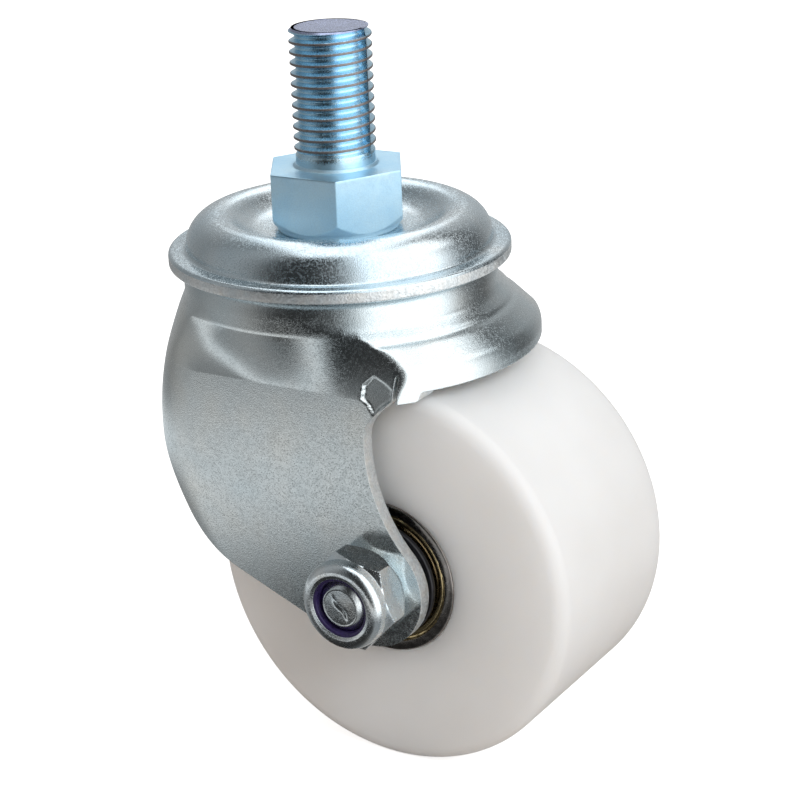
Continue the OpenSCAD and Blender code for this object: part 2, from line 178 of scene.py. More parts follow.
# Angles crowded towards the corners of a hexagon, whose first corner lies at turn degrees
def hexAngles(turn, perSide):
    t = np.linspace(0, 1, perSide, endpoint=False)
    t = t - 0.82 * np.sin(2 * np.pi * t) / (2 * np.pi)
    return (np.radians(turn) + (np.arange(6)[:, None] + t[None, :]).reshape(-1) * np.pi / 3)[None, :]


# Distance from the centre to a hexagon's side: half its width over the cosine of the angle off its middle
def hexRadius(acrossFlats, turn, angles, cornerRadius):
    off = (angles - np.radians(turn)) % (np.pi / 3) - np.pi / 6
    return np.minimum(acrossFlats / 2 / np.cos(off), cornerRadius)


# 0 below low, 1 above high, and a smooth cubic between
def smoothStep(low, high, x):
    t = np.clip((x - low) / (high - low), 0, 1)
    return t * t * (3 - 2 * t)


# Finishes

def newFinish(name):
    mat = bpy.data.materials.new(name)
    mat.use_nodes = True
    nt = mat.node_tree
    return mat, nt, nt.nodes["Principled BSDF"]


# Joins a socket to another one, or gives it a plain value
def feed(nt, socket, value):
    if hasattr(value, "is_linked"):
        nt.links.new(value, socket)
    else:
        socket.default_value = value


def addNode(nt, kind, inputs=None, **attrs):
    n = nt.nodes.new(kind)
    for key, value in attrs.items():
        setattr(n, key, value)
    for key, value in (inputs or {}).items():
        feed(nt, n.inputs[key], value)
    return n


def noise(nt, coords, scale, detail=2.0, rough=0.5):
    inputs = {"Vector": coords, "Scale": scale, "Detail": detail, "Roughness": rough}
    return addNode(nt, "ShaderNodeTexNoise", inputs).outputs["Fac"]


def ramp(nt, fac, stops):
    n = addNode(nt, "ShaderNodeValToRGB", {"Fac": fac})
    el = n.color_ramp.elements
    while len(el) < len(stops):
        el.new(0.5)
    for e, (at, col) in zip(el, stops):
        e.position = at
        e.color = (*col, 1)
    return n.outputs["Color"]


def mixColor(nt, fac, a, b, mode="MIX"):
    n = addNode(nt, "ShaderNodeMix", data_type="RGBA", blend_type=mode)
    for k, value in ((0, fac), (6, a), (7, b)):
        feed(nt, n.inputs[k], (*value, 1) if isinstance(value, tuple) else value)
    return n.outputs[2]


def calc(nt, op, a, b=0.0, c=None, clamp=False):
    n = addNode(nt, "ShaderNodeMath", operation=op, use_clamp=clamp)
    for k, value in enumerate((a, b) if c is None else (a, b, c)):
        feed(nt, n.inputs[k], value)
    return n.outputs[0]


def times(nt, a, b):
    return calc(nt, "MULTIPLY", a, b)


def plus(nt, a, b):
    return calc(nt, "ADD", a, b)


def oneLess(nt, a):
    return calc(nt, "SUBTRACT", 1.0, a)


# Length of a line with the parts a and b: the root of a a + b b
def planeLength(nt, a, b):
    return calc(nt, "SQRT", plus(nt, times(nt, a, a), times(nt, b, b)))


def mapRange(nt, value, low, high, toLow=0.0, toHigh=1.0, **attrs):
    inputs = {"Value": value, "From Min": low, "From Max": high, "To Min": toLow, "To Max": toHigh}
    return addNode(nt, "ShaderNodeMapRange", inputs, **attrs).outputs["Result"]


def softRange(nt, value, low, high):
    return mapRange(nt, value, low, high, interpolation_type="SMOOTHSTEP")


def axes(nt, coords):
    return addNode(nt, "ShaderNodeSeparateXYZ", {"Vector": coords}).outputs[:3]


def firstChannel(nt, colour):
    return addNode(nt, "ShaderNodeSeparateColor", {"Color": colour}).outputs[0]


# Fine lines left by a turning tool: noise that changes only along the two given lengths
def turningLines(nt, a, b, detail):
    line = addNode(nt, "ShaderNodeCombineXYZ", {"X": a, "Y": b}).outputs["Vector"]
    return addNode(nt, "ShaderNodeTexNoise", {"Vector": line, "Scale": 1.0, "Detail": detail}).outputs["Fac"]


def bump(nt, height, strength, distance, normal=None):
    inputs = {"Height": height, "Strength": strength, "Distance": distance}
    if normal is not None:
        inputs["Normal"] = normal
    return addNode(nt, "ShaderNodeBump", inputs).outputs["Normal"]


# What all zinc plating shares: where noise turns to colour, and how coarse its layers are beside the specks
zinc = {"cloudStops": (0.30, 0.52, 0.72), "fleckStops": (0.30, 0.66), "streakShare": 0.22, "swellShare": 0.12,
        "streakSpan": (0.3, 0.7), "smoother": 0.05, "rougher": 0.06, "dullCrystals": (0.50, 0.85),
        "swellHeight": 0.0003, "speckHeight": 0.00010, "toolHeight": 0.00006, "tool": 0.35, "toolSquash": 0.6}
# The stem's thread is rubbed brown at its crests, and its end face is painted a darker violet-blue as a
# painted reflection; below it the plating is duller
stemWearAndReflection = {"crest": (0.00758, 0.00767), "wobble": 0.00030, "from": (0.0012, 0.0020), "to": (0.0243, 0.0249),
            "brown": (0.30, 0.26, 0.25), "end": (0.0256, 0.0258), "paintedViolet": (0.40, 0.44, 0.62), "dull": 0.25,
            "below": (0.0012, 0.0022), "flanks": (-0.0005, -0.0001), "flankMetal": -0.38, "satin": 0.16}


# How far the crests are rubbed: they lie furthest from the axis, between the neck and the tip
def crestWear(nt, coords, grains, wearAndReflection):
    x, y, z = axes(nt, coords)
    wobble = times(nt, calc(nt, "SUBTRACT", grains, 0.5), wearAndReflection["wobble"])
    worn = softRange(nt, plus(nt, planeLength(nt, x, y), wobble), *wearAndReflection["crest"])
    worn = times(nt, worn, softRange(nt, z, *wearAndReflection["from"]))
    return times(nt, worn, oneLess(nt, softRange(nt, z, *wearAndReflection["to"])))


# Faint blue and straw clouds in the passivated layer, with darker flecks at the grains
def zincColour(nt, coords, grains, look):
    clouds = noise(nt, coords, look["cloudScale"], 3, 0.6)
    tone = ramp(nt, clouds, list(zip(zinc["cloudStops"], (look["cool"], look["plain"], look["warm"]))))
    flecks = list(zip(zinc["fleckStops"], ((1 - look["fleck"],) * 3, (1, 1, 1))))
    return mixColor(nt, 1.0, tone, ramp(nt, grains, flecks), "MULTIPLY")


# Roughness in slow streaks, and higher on some fine crystals, which breaks dark reflections into specks
def zincRoughness(nt, coords, look):
    streak = noise(nt, coords, look["speckScale"] * zinc["streakShare"], 2, 0.6)
    low, high = look["rough"] - zinc["smoother"], look["rough"] + zinc["rougher"]
    roughness = mapRange(nt, streak, *zinc["streakSpan"], low, high)
    crystals = addNode(nt, "ShaderNodeTexVoronoi", {"Vector": coords, "Scale": look["crystalScale"]})
    dullOnes = softRange(nt, firstChannel(nt, crystals.outputs["Color"]), *zinc["dullCrystals"])
    return calc(nt, "MULTIPLY_ADD", dullOnes, look["crystal"], roughness)


# Low swells and fine specks; sheet edges are rounded in the shading, and turned parts get tool lines
def zincNormal(nt, coords, grains, look):
    rounded = None
    if look.get("rounding"):
        rounded = addNode(nt, "ShaderNodeBevel", {"Radius": look["rounding"]}, samples=4).outputs["Normal"]
    swell = noise(nt, coords, look["speckScale"] * zinc["swellShare"], 2, 0.5)
    normal = bump(nt, swell, look["swell"], zinc["swellHeight"], rounded)
    normal = bump(nt, grains, look["speck"], zinc["speckHeight"], normal)
    if look.get("turned"):
        x, y, z = axes(nt, coords)
        along = times(nt, z, look["turned"] * zinc["toolSquash"])
        tool = turningLines(nt, times(nt, planeLength(nt, x, y), look["turned"]), along, 2.0)
        normal = bump(nt, tool, zinc["tool"], zinc["toolHeight"], normal)
    return normal


# Zinc plating: a bright metal with fine crystals, in the colour, roughness and relief worked out above
def zincFinish(name, look):
    mat, nt, bsdf = newFinish(name)
    coords = addNode(nt, "ShaderNodeTexCoord").outputs["Object"]
    grains = noise(nt, coords, look["speckScale"], 1.0, 0.6)
    shade = zincColour(nt, coords, grains, look)
    roughness = zincRoughness(nt, coords, look)
    bsdf.inputs["Metallic"].default_value = 1.0
    wearAndReflection = look.get("wearAndReflection")
    if wearAndReflection:
        height = axes(nt, coords)[2]
        worn = crestWear(nt, coords, grains, wearAndReflection)
        shade = mixColor(nt, worn, shade, wearAndReflection["brown"])
        # Painted reflection: the stem's end face is tinted a darker violet-blue
        shade = mixColor(nt, softRange(nt, height, *wearAndReflection["end"]), shade, wearAndReflection["paintedViolet"])
        below = oneLess(nt, softRange(nt, height, *wearAndReflection["below"]))
        flanks = oneLess(nt, softRange(nt, height, *wearAndReflection["flanks"]))
        roughness = plus(nt, roughness, times(nt, plus(nt, below, flanks), wearAndReflection["satin"]))
        roughness = plus(nt, roughness, times(nt, worn, wearAndReflection["dull"]))
        nt.links.new(calc(nt, "MULTIPLY_ADD", flanks, wearAndReflection["flankMetal"], 1.0), bsdf.inputs["Metallic"])
    nt.links.new(shade, bsdf.inputs["Base Color"])
    nt.links.new(roughness, bsdf.inputs["Roughness"])
    nt.links.new(zincNormal(nt, coords, grains, look), bsdf.inputs["Normal"])
    return mat


# Milky nylon: light enters a little, with faint turning rings about the axle and cloudy warmth
def nylonFinish(name, look):
    mat, nt, bsdf = newFinish(name)
    coords = addNode(nt, "ShaderNodeTexCoord").outputs["Object"]
    clouds = noise(nt, coords, look["cloudScale"], 2, 0.5)
    nt.links.new(ramp(nt, clouds, [(0.3, look["deep"]), (0.7, look["milk"])]), bsdf.inputs["Base Color"])
    for socket, key in (("Roughness", "rough"), ("IOR", "ior"), ("Subsurface Weight", "depth"),
                        ("Subsurface Radius", "spread"), ("Subsurface Scale", "reach")):
        bsdf.inputs[socket].default_value = look[key]
    place = (-axle["x"] * mm, 0, -axle["z"] * mm)
    centred = addNode(nt, "ShaderNodeMapping", {"Vector": coords, "Location": place})
    x, y, z = axes(nt, centred.outputs["Vector"])
    outward = times(nt, planeLength(nt, x, z), look["ringScale"])
    rings = turningLines(nt, outward, times(nt, y, look["treadScale"]), 1.0)
    nt.links.new(bump(nt, rings, look["ring"], look["ringHeight"]), bsdf.inputs["Normal"])
    return mat


# A plain machined or moulded finish: two tones in fine noise, with a small bump
def simpleFinish(name, look):
    mat, nt, bsdf = newFinish(name)
    coords = addNode(nt, "ShaderNodeTexCoord").outputs["Object"]
    fine = noise(nt, coords, look["scale"], 3, 0.6)
    nt.links.new(ramp(nt, fine, [(0.32, look["low"]), (0.68, look["high"])]), bsdf.inputs["Base Color"])
    bsdf.inputs["Metallic"].default_value = look["metallic"]
    smooth, dull = max(0.03, look["rough"] - 0.05), look["rough"] + 0.07
    nt.links.new(mapRange(nt, fine, 0.3, 0.7, smooth, dull), bsdf.inputs["Roughness"])
    nt.links.new(bump(nt, fine, look["bump"], 0.00005), bsdf.inputs["Normal"])
    return mat


zincLooks = {
    "stemZinc": {"cool": (0.46, 0.75, 0.95), "plain": (0.56, 0.81, 0.97), "warm": (0.66, 0.86, 0.96),
                 "cloudScale": 60, "crystalScale": 5200, "crystal": 0.12, "speckScale": 5200, "speck": 0.16,
                 "fleck": 0.08, "swell": 0.06, "rough": 0.21, "turned": 5200, "wearAndReflection": stemWearAndReflection},
    "capZinc": {"cool": (0.60, 0.72, 0.79), "plain": (0.68, 0.76, 0.80), "warm": (0.74, 0.77, 0.77),
                "cloudScale": 42, "crystalScale": 4600, "crystal": 0.26, "speckScale": 5200, "speck": 0.22,
                "fleck": 0.08, "swell": 0.02, "rough": 0.13},
    "forkZinc": {"cool": (0.62, 0.72, 0.76), "plain": (0.70, 0.75, 0.76), "warm": (0.77, 0.77, 0.73),
                 "cloudScale": 36, "crystalScale": 4600, "crystal": 0.15, "speckScale": 5200, "speck": 0.22,
                 "fleck": 0.07, "swell": 0.02, "rough": 0.15, "rounding": 0.00022},
    # Cut edges: rougher sheared zinc, painted lighter than the sheet as a highlight of the rounded edge
    "cutEdgeHighlightZinc": {"cool": (0.78, 0.83, 0.85), "plain": (0.86, 0.88, 0.88), "warm": (0.90, 0.89, 0.86),
                 "cloudScale": 300, "crystalScale": 2600, "crystal": 0.20, "speckScale": 2600, "speck": 0.8,
                 "fleck": 0.18, "swell": 0.20, "rough": 0.44, "rounding": 0.00022},
    "nutZinc": {"cool": (0.68, 0.77, 0.82), "plain": (0.76, 0.81, 0.83), "warm": (0.82, 0.82, 0.79),
                "cloudScale": 160, "crystalScale": 4600, "crystal": 0.12, "speckScale": 4200, "speck": 0.16,
                "fleck": 0.08, "swell": 0.08, "rough": 0.15},
}
nylon = {"deep": (0.85, 0.845, 0.835), "milk": (0.91, 0.91, 0.905), "cloudScale": 38, "rough": 0.42,
         "ior": 1.53, "depth": 0.70, "spread": (1.0, 0.94, 0.88), "reach": 0.018,
         "ringScale": 2600, "treadScale": 1800, "ring": 0.08, "ringHeight": 0.00006}
simpleLooks = {
    "ringSteel": {"low": (0.30, 0.27, 0.25), "high": (0.42, 0.39, 0.37), "metallic": 1.0, "rough": 0.22,
                  "scale": 900, "bump": 0.06},
    "shieldGold": {"low": (0.78, 0.60, 0.30), "high": (0.90, 0.74, 0.44), "metallic": 1.0, "rough": 0.22,
                   "scale": 1400, "bump": 0.05},
    # Black-oxide dust washers, whose black also stands in partly for the shadow in the gap beside the bearing
    "dustBlackAndShade": {"low": (0.010, 0.010, 0.012), "high": (0.022, 0.022, 0.026), "metallic": 0.0, "rough": 0.32,
                  "scale": 900, "bump": 0.15},
    "insertViolet": {"low": (0.012, 0.006, 0.045), "high": (0.030, 0.016, 0.095), "metallic": 0.0,
                     "rough": 0.30, "scale": 1500, "bump": 0.15},
    "ballSteel": {"low": (0.60, 0.61, 0.62), "high": (0.72, 0.73, 0.74), "metallic": 1.0, "rough": 0.10,
                  "scale": 900, "bump": 0.15},
    "cageSteel": {"low": (0.40, 0.37, 0.32), "high": (0.55, 0.52, 0.46), "metallic": 1.0, "rough": 0.35,
                  "scale": 900, "bump": 0.15},
    "sleeveZinc": {"low": (0.50, 0.54, 0.57), "high": (0.62, 0.65, 0.67), "metallic": 1.0, "rough": 0.30,
                   "scale": 900, "bump": 0.15},
}
paint = {name: zincFinish(name, look) for name, look in zincLooks.items()}
paint["wheelNylon"] = nylonFinish("wheelNylon", nylon)
paint.update({name: simpleFinish(name, look) for name, look in simpleLooks.items()})
print("finishes ready:", len(paint))

# Each slot's finish. The CAD nodes get theirs here, and stay as they are otherwise
bySlot = {"stem_zinc": "stemZinc", "cap_zinc": "capZinc", "row_balls": "ballSteel", "race_zinc": "capZinc",
          "fork_zinc": "forkZinc", "wheel_nylon": "wheelNylon", "ring_steel": "ringSteel",
          "bearing_balls": "ballSteel", "cage_steel": "cageSteel", "shield_gold": "shieldGold",
          "sleeve_zinc": "sleeveZinc", "dust_black": "dustBlackAndShade", "bolt_zinc": "nutZinc",
          "nut_zinc": "nutZinc", "insert_violet": "insertViolet"}
slotOf = {s["node"]: s["material_slot"] for s in frame["record"]["subparts"]}
for nodeName, obj in frame["nodes"].items():
    if not obj.material_slots:
        obj.data.materials.append(None)
    for slot in obj.material_slots:
        slot.material = paint[bySlot[slotOf[nodeName]]]


# Threaded stem, hex and king pin: one turned piece

stem = {"tip": 26.05, "crest": 7.74, "pitch": 2.0, "depth": 1.12, "start": 0.10, "neck": 7.5, "neckTop": 2.3,
        "threadFrom": 1.2, "fadeBelow": 0.3, "fadeAbove": 1.5, "chamfer": 0.6, "tipGrow": 0.05,
        "hexWidth": 24.3, "hexCorner": 13.97, "hexHeight": 10.9, "hexTurn": 2.7, "hexFoot": 12.15,
        "footSlope": 0.80, "collar": 11.6, "collarEnd": -12.0, "pin": 7.0, "pinEnd": -23.1,
        "tenon": 6.0, "tenonEnd": -25.5, "rivet": 9.0}
# The crest's flat and each flank as shares of half a pitch, the flanks' share of the depth, and the phases
# at which the grid's rows stand over root and crest
thread = {"flat": 0.17, "flank": 0.56, "straight": 0.90, "rootEnd": 0.135,
          "crestRows": (0.445, 0.485, 0.515, 0.555)}
# Steps out from the neck and their heights: the fillet between the neck and the hex's top
neckFillet = [(0.0, 0.9), (0.02, 0.62), (0.22, 0.56), (0.42, 0.30), (0.62, 0.06), (0.8, 0.0)]
# Steps in from the hex's sides and their heights: the hex's top edge and its plain flanks
hexEdge = [(0.10, 0.0), (0.03, -0.03)] + [(0.0, z) for z in (-0.10, -0.16, -0.5, -2.5, -5.0, -7.0)]
# The riveted head's rounded end, as radius and height
rivetEnd = [(8.8, -26.7), (8.2, -27.5), (7.3, -28.1), (6.3, -28.45), (3.0, -28.5)]


# Radius of the thread by its phase: a narrow flat crest, straight flanks, and a root rounded by a cosine;
# the thread fades out into the neck, and the tip is cut by a cone
def threadRadius(phase, z):
    far = np.abs((phase % 1.0) - 0.5) * 2
    low = thread["flat"] + thread["flank"]
    flank = np.clip((far - thread["flat"]) / thread["flank"], 0, 1)
    root = 0.5 - 0.5 * np.cos(np.pi * np.clip((far - low) / (1 - low), 0, 1))
    full = stem["crest"] - stem["depth"] * (thread["straight"] * flank + (1 - thread["straight"]) * root)
    fade = smoothStep(stem["neckTop"] - stem["fadeBelow"], stem["neckTop"] + stem["fadeAbove"], z)
    body = stem["neck"] + (full - stem["neck"]) * fade
    return np.minimum(body, stem["crest"] + stem["tipGrow"] - (z - (stem["tip"] - stem["chamfer"])))


# Phases of the rows in one pitch, from root to root
def threadPhases():
    end, crest = thread["rootEnd"], thread["crestRows"]
    root = np.linspace(0.0, end, 4, endpoint=False)
    rise = np.linspace(end, crest[0], 6, endpoint=False)
    fall = np.linspace(crest[-1], 1 - end, 7)[1:]
    return np.concatenate([root, rise, crest, fall, np.linspace(1 - end, 1.0, 4, endpoint=False)[1:]])


# The thread's grid climbs with the helix, so that its rows lie along crest and flanks: each column's rows
# stand at phases kept the same, and the last column meets the first one pitch higher
def threadPart(angles, zLow, zHigh):
    phases = threadPhases()
    turns = int((zHigh - zLow) / stem["pitch"]) + 3
    phase = (np.arange(turns)[:, None] + phases[None, :]).reshape(-1, 1)
    z = zLow - 2 * stem["pitch"] + stem["pitch"] * (phase + angles / (2 * np.pi)) + stem["start"]
    z = np.clip(z, zLow, zHigh)
    return aboutSwivel(threadRadius(phase, z), z, angles)[::-1], len(phases)


# Rings from the tip's middle out to its chamfer
def stemTip(angles):
    top, end = stem["tip"], stem["crest"] + stem["tipGrow"] - stem["chamfer"]
    steps = [(0.8, 0.12), (2.5, 0.10), (4.6, 0.05), (end - 0.75, 0.02), (end - 0.12, 0.01)]
    return np.array([aboutSwivel(r, top - down, angles)[0] for r, down in steps])


# Rings from the neck down: fillet, hex with its edges cut back by a cone, collar, king pin and riveted end
def stemBelow(angles):
    hexR = hexRadius(stem["hexWidth"], stem["hexTurn"], angles, stem["hexCorner"])
    neckR, low, collar, end = stem["neck"], -stem["hexHeight"], stem["collar"], stem["collarEnd"]
    flat = neckR + neckFillet[-1][0]
    steps = [(neckR + out, z) for out, z in neckFillet]
    steps += [((1 - t) * flat + t * (hexR - hexEdge[0][0]), 0.0) for t in (0.2, 0.5, 0.8, 0.97)]
    steps += [(hexR - inset, z) for inset, z in hexEdge]
    for z in np.arange(-8.2, low - 0.01, -0.11):
        steps.append((np.minimum(hexR, stem["hexFoot"] + (z - low) * stem["footSlope"]), z))
    steps += [(11.9, low - 0.03), (collar, low - 0.1), (collar, end + 0.2), (collar - 0.2, end)]
    steps += [(stem["pin"], end), (stem["pin"], stem["pinEnd"]), (stem["tenon"], stem["pinEnd"])]
    steps += [(stem["tenon"], stem["tenonEnd"]), (stem["rivet"], stem["tenonEnd"])]
    steps.append((stem["rivet"], stem["tenonEnd"] - 0.4))
    return np.array([aboutSwivel(r + 0 * angles, z, angles)[0] for r, z in steps + rivetEnd])


# Tip, thread and lower part, one under the other, each ring joined to the next. Where the thread's last
# column meets its first, rows are shifted by one turn's count
def stemMesh():
    angles = hexAngles(stem["hexTurn"], 38)
    middle, perTurn = threadPart(angles, stem["threadFrom"], stem["tip"])
    stack = [stemTip(angles), middle, stemBelow(angles)]
    cols = angles.shape[1]
    poles = [stack[0][0].mean(0)[None], stack[-1][-1].mean(0)[None]]
    start = np.cumsum([0] + [len(g) * cols for g in stack])
    j = np.arange(cols)
    l = (j + 1) % cols
    faces = []
    for k, g in enumerate(stack):
        i = np.arange(len(g) - 1)[:, None]
        shift = (l == 0) * (perTurn if k == 1 else 0)
        a, c = i * cols + j, np.clip(i + shift, 0, len(g) - 1) * cols + l
        b, d = (i + 1) * cols + j, np.clip(i + 1 + shift, 0, len(g) - 1) * cols + l
        faces.append((np.stack([a, c, d, b], -1) + start[k]).reshape(-1, 4))
        if k:
            before = start[k] - cols
            faces.append(np.stack([before + j, before + l, start[k] + l, start[k] + j], 1))
    n = start[3]
    faces = np.concatenate(faces).tolist()
    faces += np.stack([l, j, np.full(cols, n)], 1).tolist()
    faces += np.stack([n - cols + j, n - cols + l, np.full(cols, n + 1)], 1).tolist()
    return weldedMesh("stemThreaded", np.concatenate([g.reshape(-1, 3) for g in stack] + poles), faces, 24)


piece("stemThreaded", stemMesh(), "mount", paint["stemZinc"], ["stem_bolt"])


# Swivel cap: one pressed sheet, so its section is one closed line turned about the swivel axis

cap = {"rowRadius": 23.4, "rowHeight": -14.2, "dome": 5.8, "track": 3.2, "rim": 32.7, "bore": 7.01,
       "floorTop": -12.0, "floorLow": -14.6, "floorEnd": 13.7, "flangeTop": -15.0, "flangeLow": -17.6,
       "coveX": 13.725, "coveZ": -3.0, "cove": 9.0, "coveEnd": -49.2, "domeStart": 130.8,
       "flangeX": 30.0, "foot": 0.8, "skirtX": 30.2, "skirt": 3.6, "topEdge": 0.75, "lowEdge": 0.45}


# From the bore over floor, cove and dome to the rim, and back below along the ball track
def capProfile():
    cx, cz, top, low = cap["rowRadius"], cap["rowHeight"], cap["flangeTop"], cap["flangeLow"]
    rim = roundedLine([(cap["flangeX"], top), (cap["rim"], top, cap["topEdge"]),
                       (cap["rim"], low, cap["lowEdge"]), (cap["skirtX"], low)], 8)
    return np.concatenate([
        [[cap["bore"], cap["floorTop"]]],
        denseLine(np.array([[7.6, cap["floorTop"]], [cap["floorEnd"], cap["floorTop"]]]), 1.5),
        arcLine(cap["coveX"], cap["coveZ"], cap["cove"], -90, cap["coveEnd"], 16),
        arcLine(cx, cz, cap["dome"], cap["domeStart"], 0, 44)[1:],
        arcLine(cap["flangeX"], cz, cap["foot"], 180, 270, 7)[1:],
        rim[1:],
        arcLine(cap["skirtX"], low + cap["skirt"], cap["skirt"], 270, 180, 10)[1:],
        arcLine(cx, cz, cap["track"], 2, 187, 24),
        [[20.1, cap["floorLow"]], [cap["bore"], cap["floorLow"]]],
    ])


# The rim's cut edge takes the second finish: rougher zinc, painted lighter as a highlight along the edge
def capMesh():
    mesh = lathe("capPressed", capProfile(), 256, aboutSwivel, True, 40)
    centre = np.zeros(len(mesh.polygons) * 3)
    mesh.polygons.foreach_get("center", centre)
    centre = centre.reshape(-1, 3) / mm
    far = np.hypot(centre[:, 0], centre[:, 1]) > cap["rim"] - 0.12
    rim = far & (centre[:, 2] < cap["flangeTop"] - 0.55)
    mesh.polygons.foreach_set("material_index", rim.astype(np.int32))
    return mesh


sheetFinishes = [paint["capZinc"], paint["cutEdgeHighlightZinc"]]
piece("capPressed", capMesh(), "mount", sheetFinishes, ["swivel_cap"])
print("stem and cap done")


# Fork: one pressed sheet

fork = {"sheet": 2.8, "crown": -16.9, "neck": 30.0, "shoulder": 4.2, "neckEnd": -24.6, "leg": 26.6,
        "hole": 8.5, "cheekLow": -35.4, "cheekHalf": 11.0, "sink": 1.3, "bottom": -88.0,
        "skirt": 38.2, "skirtLow": -33.6, "nibLow": -35.3, "slope": 41, "lipX": 34.2, "lipZ": -32.0,
        "lip": 4.0, "cove": 2.0, "grooveZ": -25.75, "groove": 0.30, "grooveWide": 0.42, "fineEnd": -38.4,
        "backRadius": 36.2, "backBulge": 59.0, "backMid": -49.5, "corner": 14.0, "rearSoft": 8.0,
        "axleHole": 5.2, "boss": 11.6}
# The crown's two ball tracks: radius and height of each row, and the sheet's arcs over and under the balls
crown = {"lowRow": 15.5, "lowHeight": -21.6, "bulge": 5.5, "lowTrack": 2.7, "lowHalf": 1.9,
         "highRow": 23.4, "highHeight": -14.2, "highTrack": 3.2, "highHalf": 1.72,
         "swell": 6.0, "swellHalf": 5.9}
# The flat struck into each leg, seen from the side, with its distance from the middle, slope and edge
struck = {"outline": [(21.1, -32.5), (23.1, -30.4), (25.7, -31.5), (27.3, -32.6), (27.2, -34.8),
                      (25.3, -36.1), (24.7, -36.7), (23.5, -38.3), (22.1, -36.1), (20.8, -35.2)],
          "y": 25.3, "z": -30.4, "slope": 0.12, "edge": 0.45}


# Outer section of the front skirt by height: a cove, a slope and a rounded lip
def skirtSection():
    lean = math.radians(fork["slope"])
    coveX = fork["neck"] + fork["cove"]
    drop = (fork["lipX"] - coveX) * math.sin(lean) + fork["lip"] + fork["cove"]
    coveZ = fork["lipZ"] + drop / math.cos(lean)
    return np.concatenate([arcLine(coveX, coveZ, fork["cove"], 180, 229, 14),
                           arcLine(fork["lipX"], fork["lipZ"], fork["lip"], 49, 0, 24),
                           [[fork["skirt"], fork["bottom"] - 5]]])


skirtLine = skirtSection()


# Distance to a leg: a shallow arc y = legY - curve x x / 2, carried on straight past the cheek's half width
def legDistance(along, side, legY, curve):
    arc = 2 * legY / (side + np.sqrt(side * side + 2 * curve * along * along * legY))
    half = fork["cheekHalf"]
    straight = (legY + curve * half * half / 2) / (side + curve * half * along + 1e-9)
    return np.minimum(np.where(arc * along < half, arc, straight), 80)


# Distance to the front skirt: its section with a faint groove in front, and far out below its lip
def frontDistance(z, away):
    front = np.interp(-z, -skirtLine[:, 1], skirtLine[:, 0])
    groove = np.exp(-((z - fork["grooveZ"]) / fork["grooveWide"]) ** 2)
    front = front - fork["groove"] * groove * smoothStep(0.25, 0.6, away)
    return front + 40 * smoothStep(-36.1, -37.0, z)


# Distance to the back: the neck's circle or the bulge's arc seen from the side, whichever is further out
def backDistance(z):
    rise = np.maximum(fork["backBulge"] ** 2 - (z - fork["backMid"]) ** 2, 0)
    past = fork["backRadius"] - fork["backBulge"] + np.sqrt(rise) - fork["neck"]
    return fork["neck"] + (past + np.sqrt(past * past + 0.04)) / 2


# Distance behind the axis: the back, then the round corner of radius q about (cx, cy), then the leg's plane
def rearDistance(away, side, legY, back):
    q = fork["corner"]
    cy = legY - q
    cx = -np.sqrt(np.maximum((back - q) ** 2 - cy ** 2, 0))
    along = away * cx + side * cy
    corner = along + np.sqrt(np.maximum(q * q - (cx * cx + cy * cy) + along * along, 0))
    reach = back / np.maximum(back - q, 1e-3)
    onPlane = side * np.abs(cx) <= -away * legY
    onBack = (side * np.abs(cx) * reach <= -away * cy * reach) & (away < 0)
    return np.where(onBack, back, np.where(onPlane, corner, legY / np.maximum(side, 1e-3)))


# Distance from the swivel axis by direction and height: in front the skirt, behind it the bulging back, and
# at the sides the legs. Over the cheek's height a leg sinks from the neck's circle to its own plane. The
# smaller distance holds where two forms meet, with a small blend
def forkRadius(phi, z):
    away = np.cos(phi)
    side = np.abs(np.sin(phi))
    rest = 1 - np.clip((fork["neckEnd"] - z) / (fork["neckEnd"] - fork["cheekLow"]), 0, 1)
    legY = fork["leg"] + (fork["neck"] - fork["leg"]) * rest ** fork["sink"]
    leg = legDistance(np.abs(away), side, legY, rest ** fork["sink"] / fork["neck"] + 1e-6)
    front = frontDistance(z, away)
    blend = 1.3 * smoothStep(fork["neckEnd"], fork["neckEnd"] - 4.0, z) + 0.02
    h = np.clip(0.5 + 0.5 * (leg - front) / blend, 0, 1)
    before = leg + (front - leg) * h - blend * h * (1 - h)
    behind = rearDistance(away, side, legY, backDistance(z))
    gap = behind - leg
    soft = fork["rearSoft"] * rest * (1 - rest) * smoothStep(0.0, 0.45, -away)
    behind = (behind + leg - np.sqrt(gap * gap + soft * soft)) / 2
    return np.where(away < 0, behind, before)


# How far inside an outline a point (x, z) lies: its distance to the nearest side, or 0 outside
def insideBy(outline, x, z):
    inside = np.zeros(np.shape(x), bool)
    near = np.full(np.shape(x), 1e9)
    for (x0, z0), (x1, z1) in zip(outline, np.roll(outline, -1, axis=0)):
        t = np.clip(((x - x0) * (x1 - x0) + (z - z0) * (z1 - z0)) / ((x1 - x0) ** 2 + (z1 - z0) ** 2), 0, 1)
        near = np.minimum(near, np.hypot(x - x0 - t * (x1 - x0), z - z0 - t * (z1 - z0)))
        if z0 != z1:
            inside ^= ((z0 > z) != (z1 > z)) & (x < x0 + (z - z0) * (x1 - x0) / (z1 - z0))
    return np.where(inside, near, 0)


# Half of a ball track's arc of the given radius, by the distance from its row: the root of r r - d d
def arcOver(radius, distance):
    return np.sqrt(np.maximum(radius ** 2 - distance ** 2, 0))


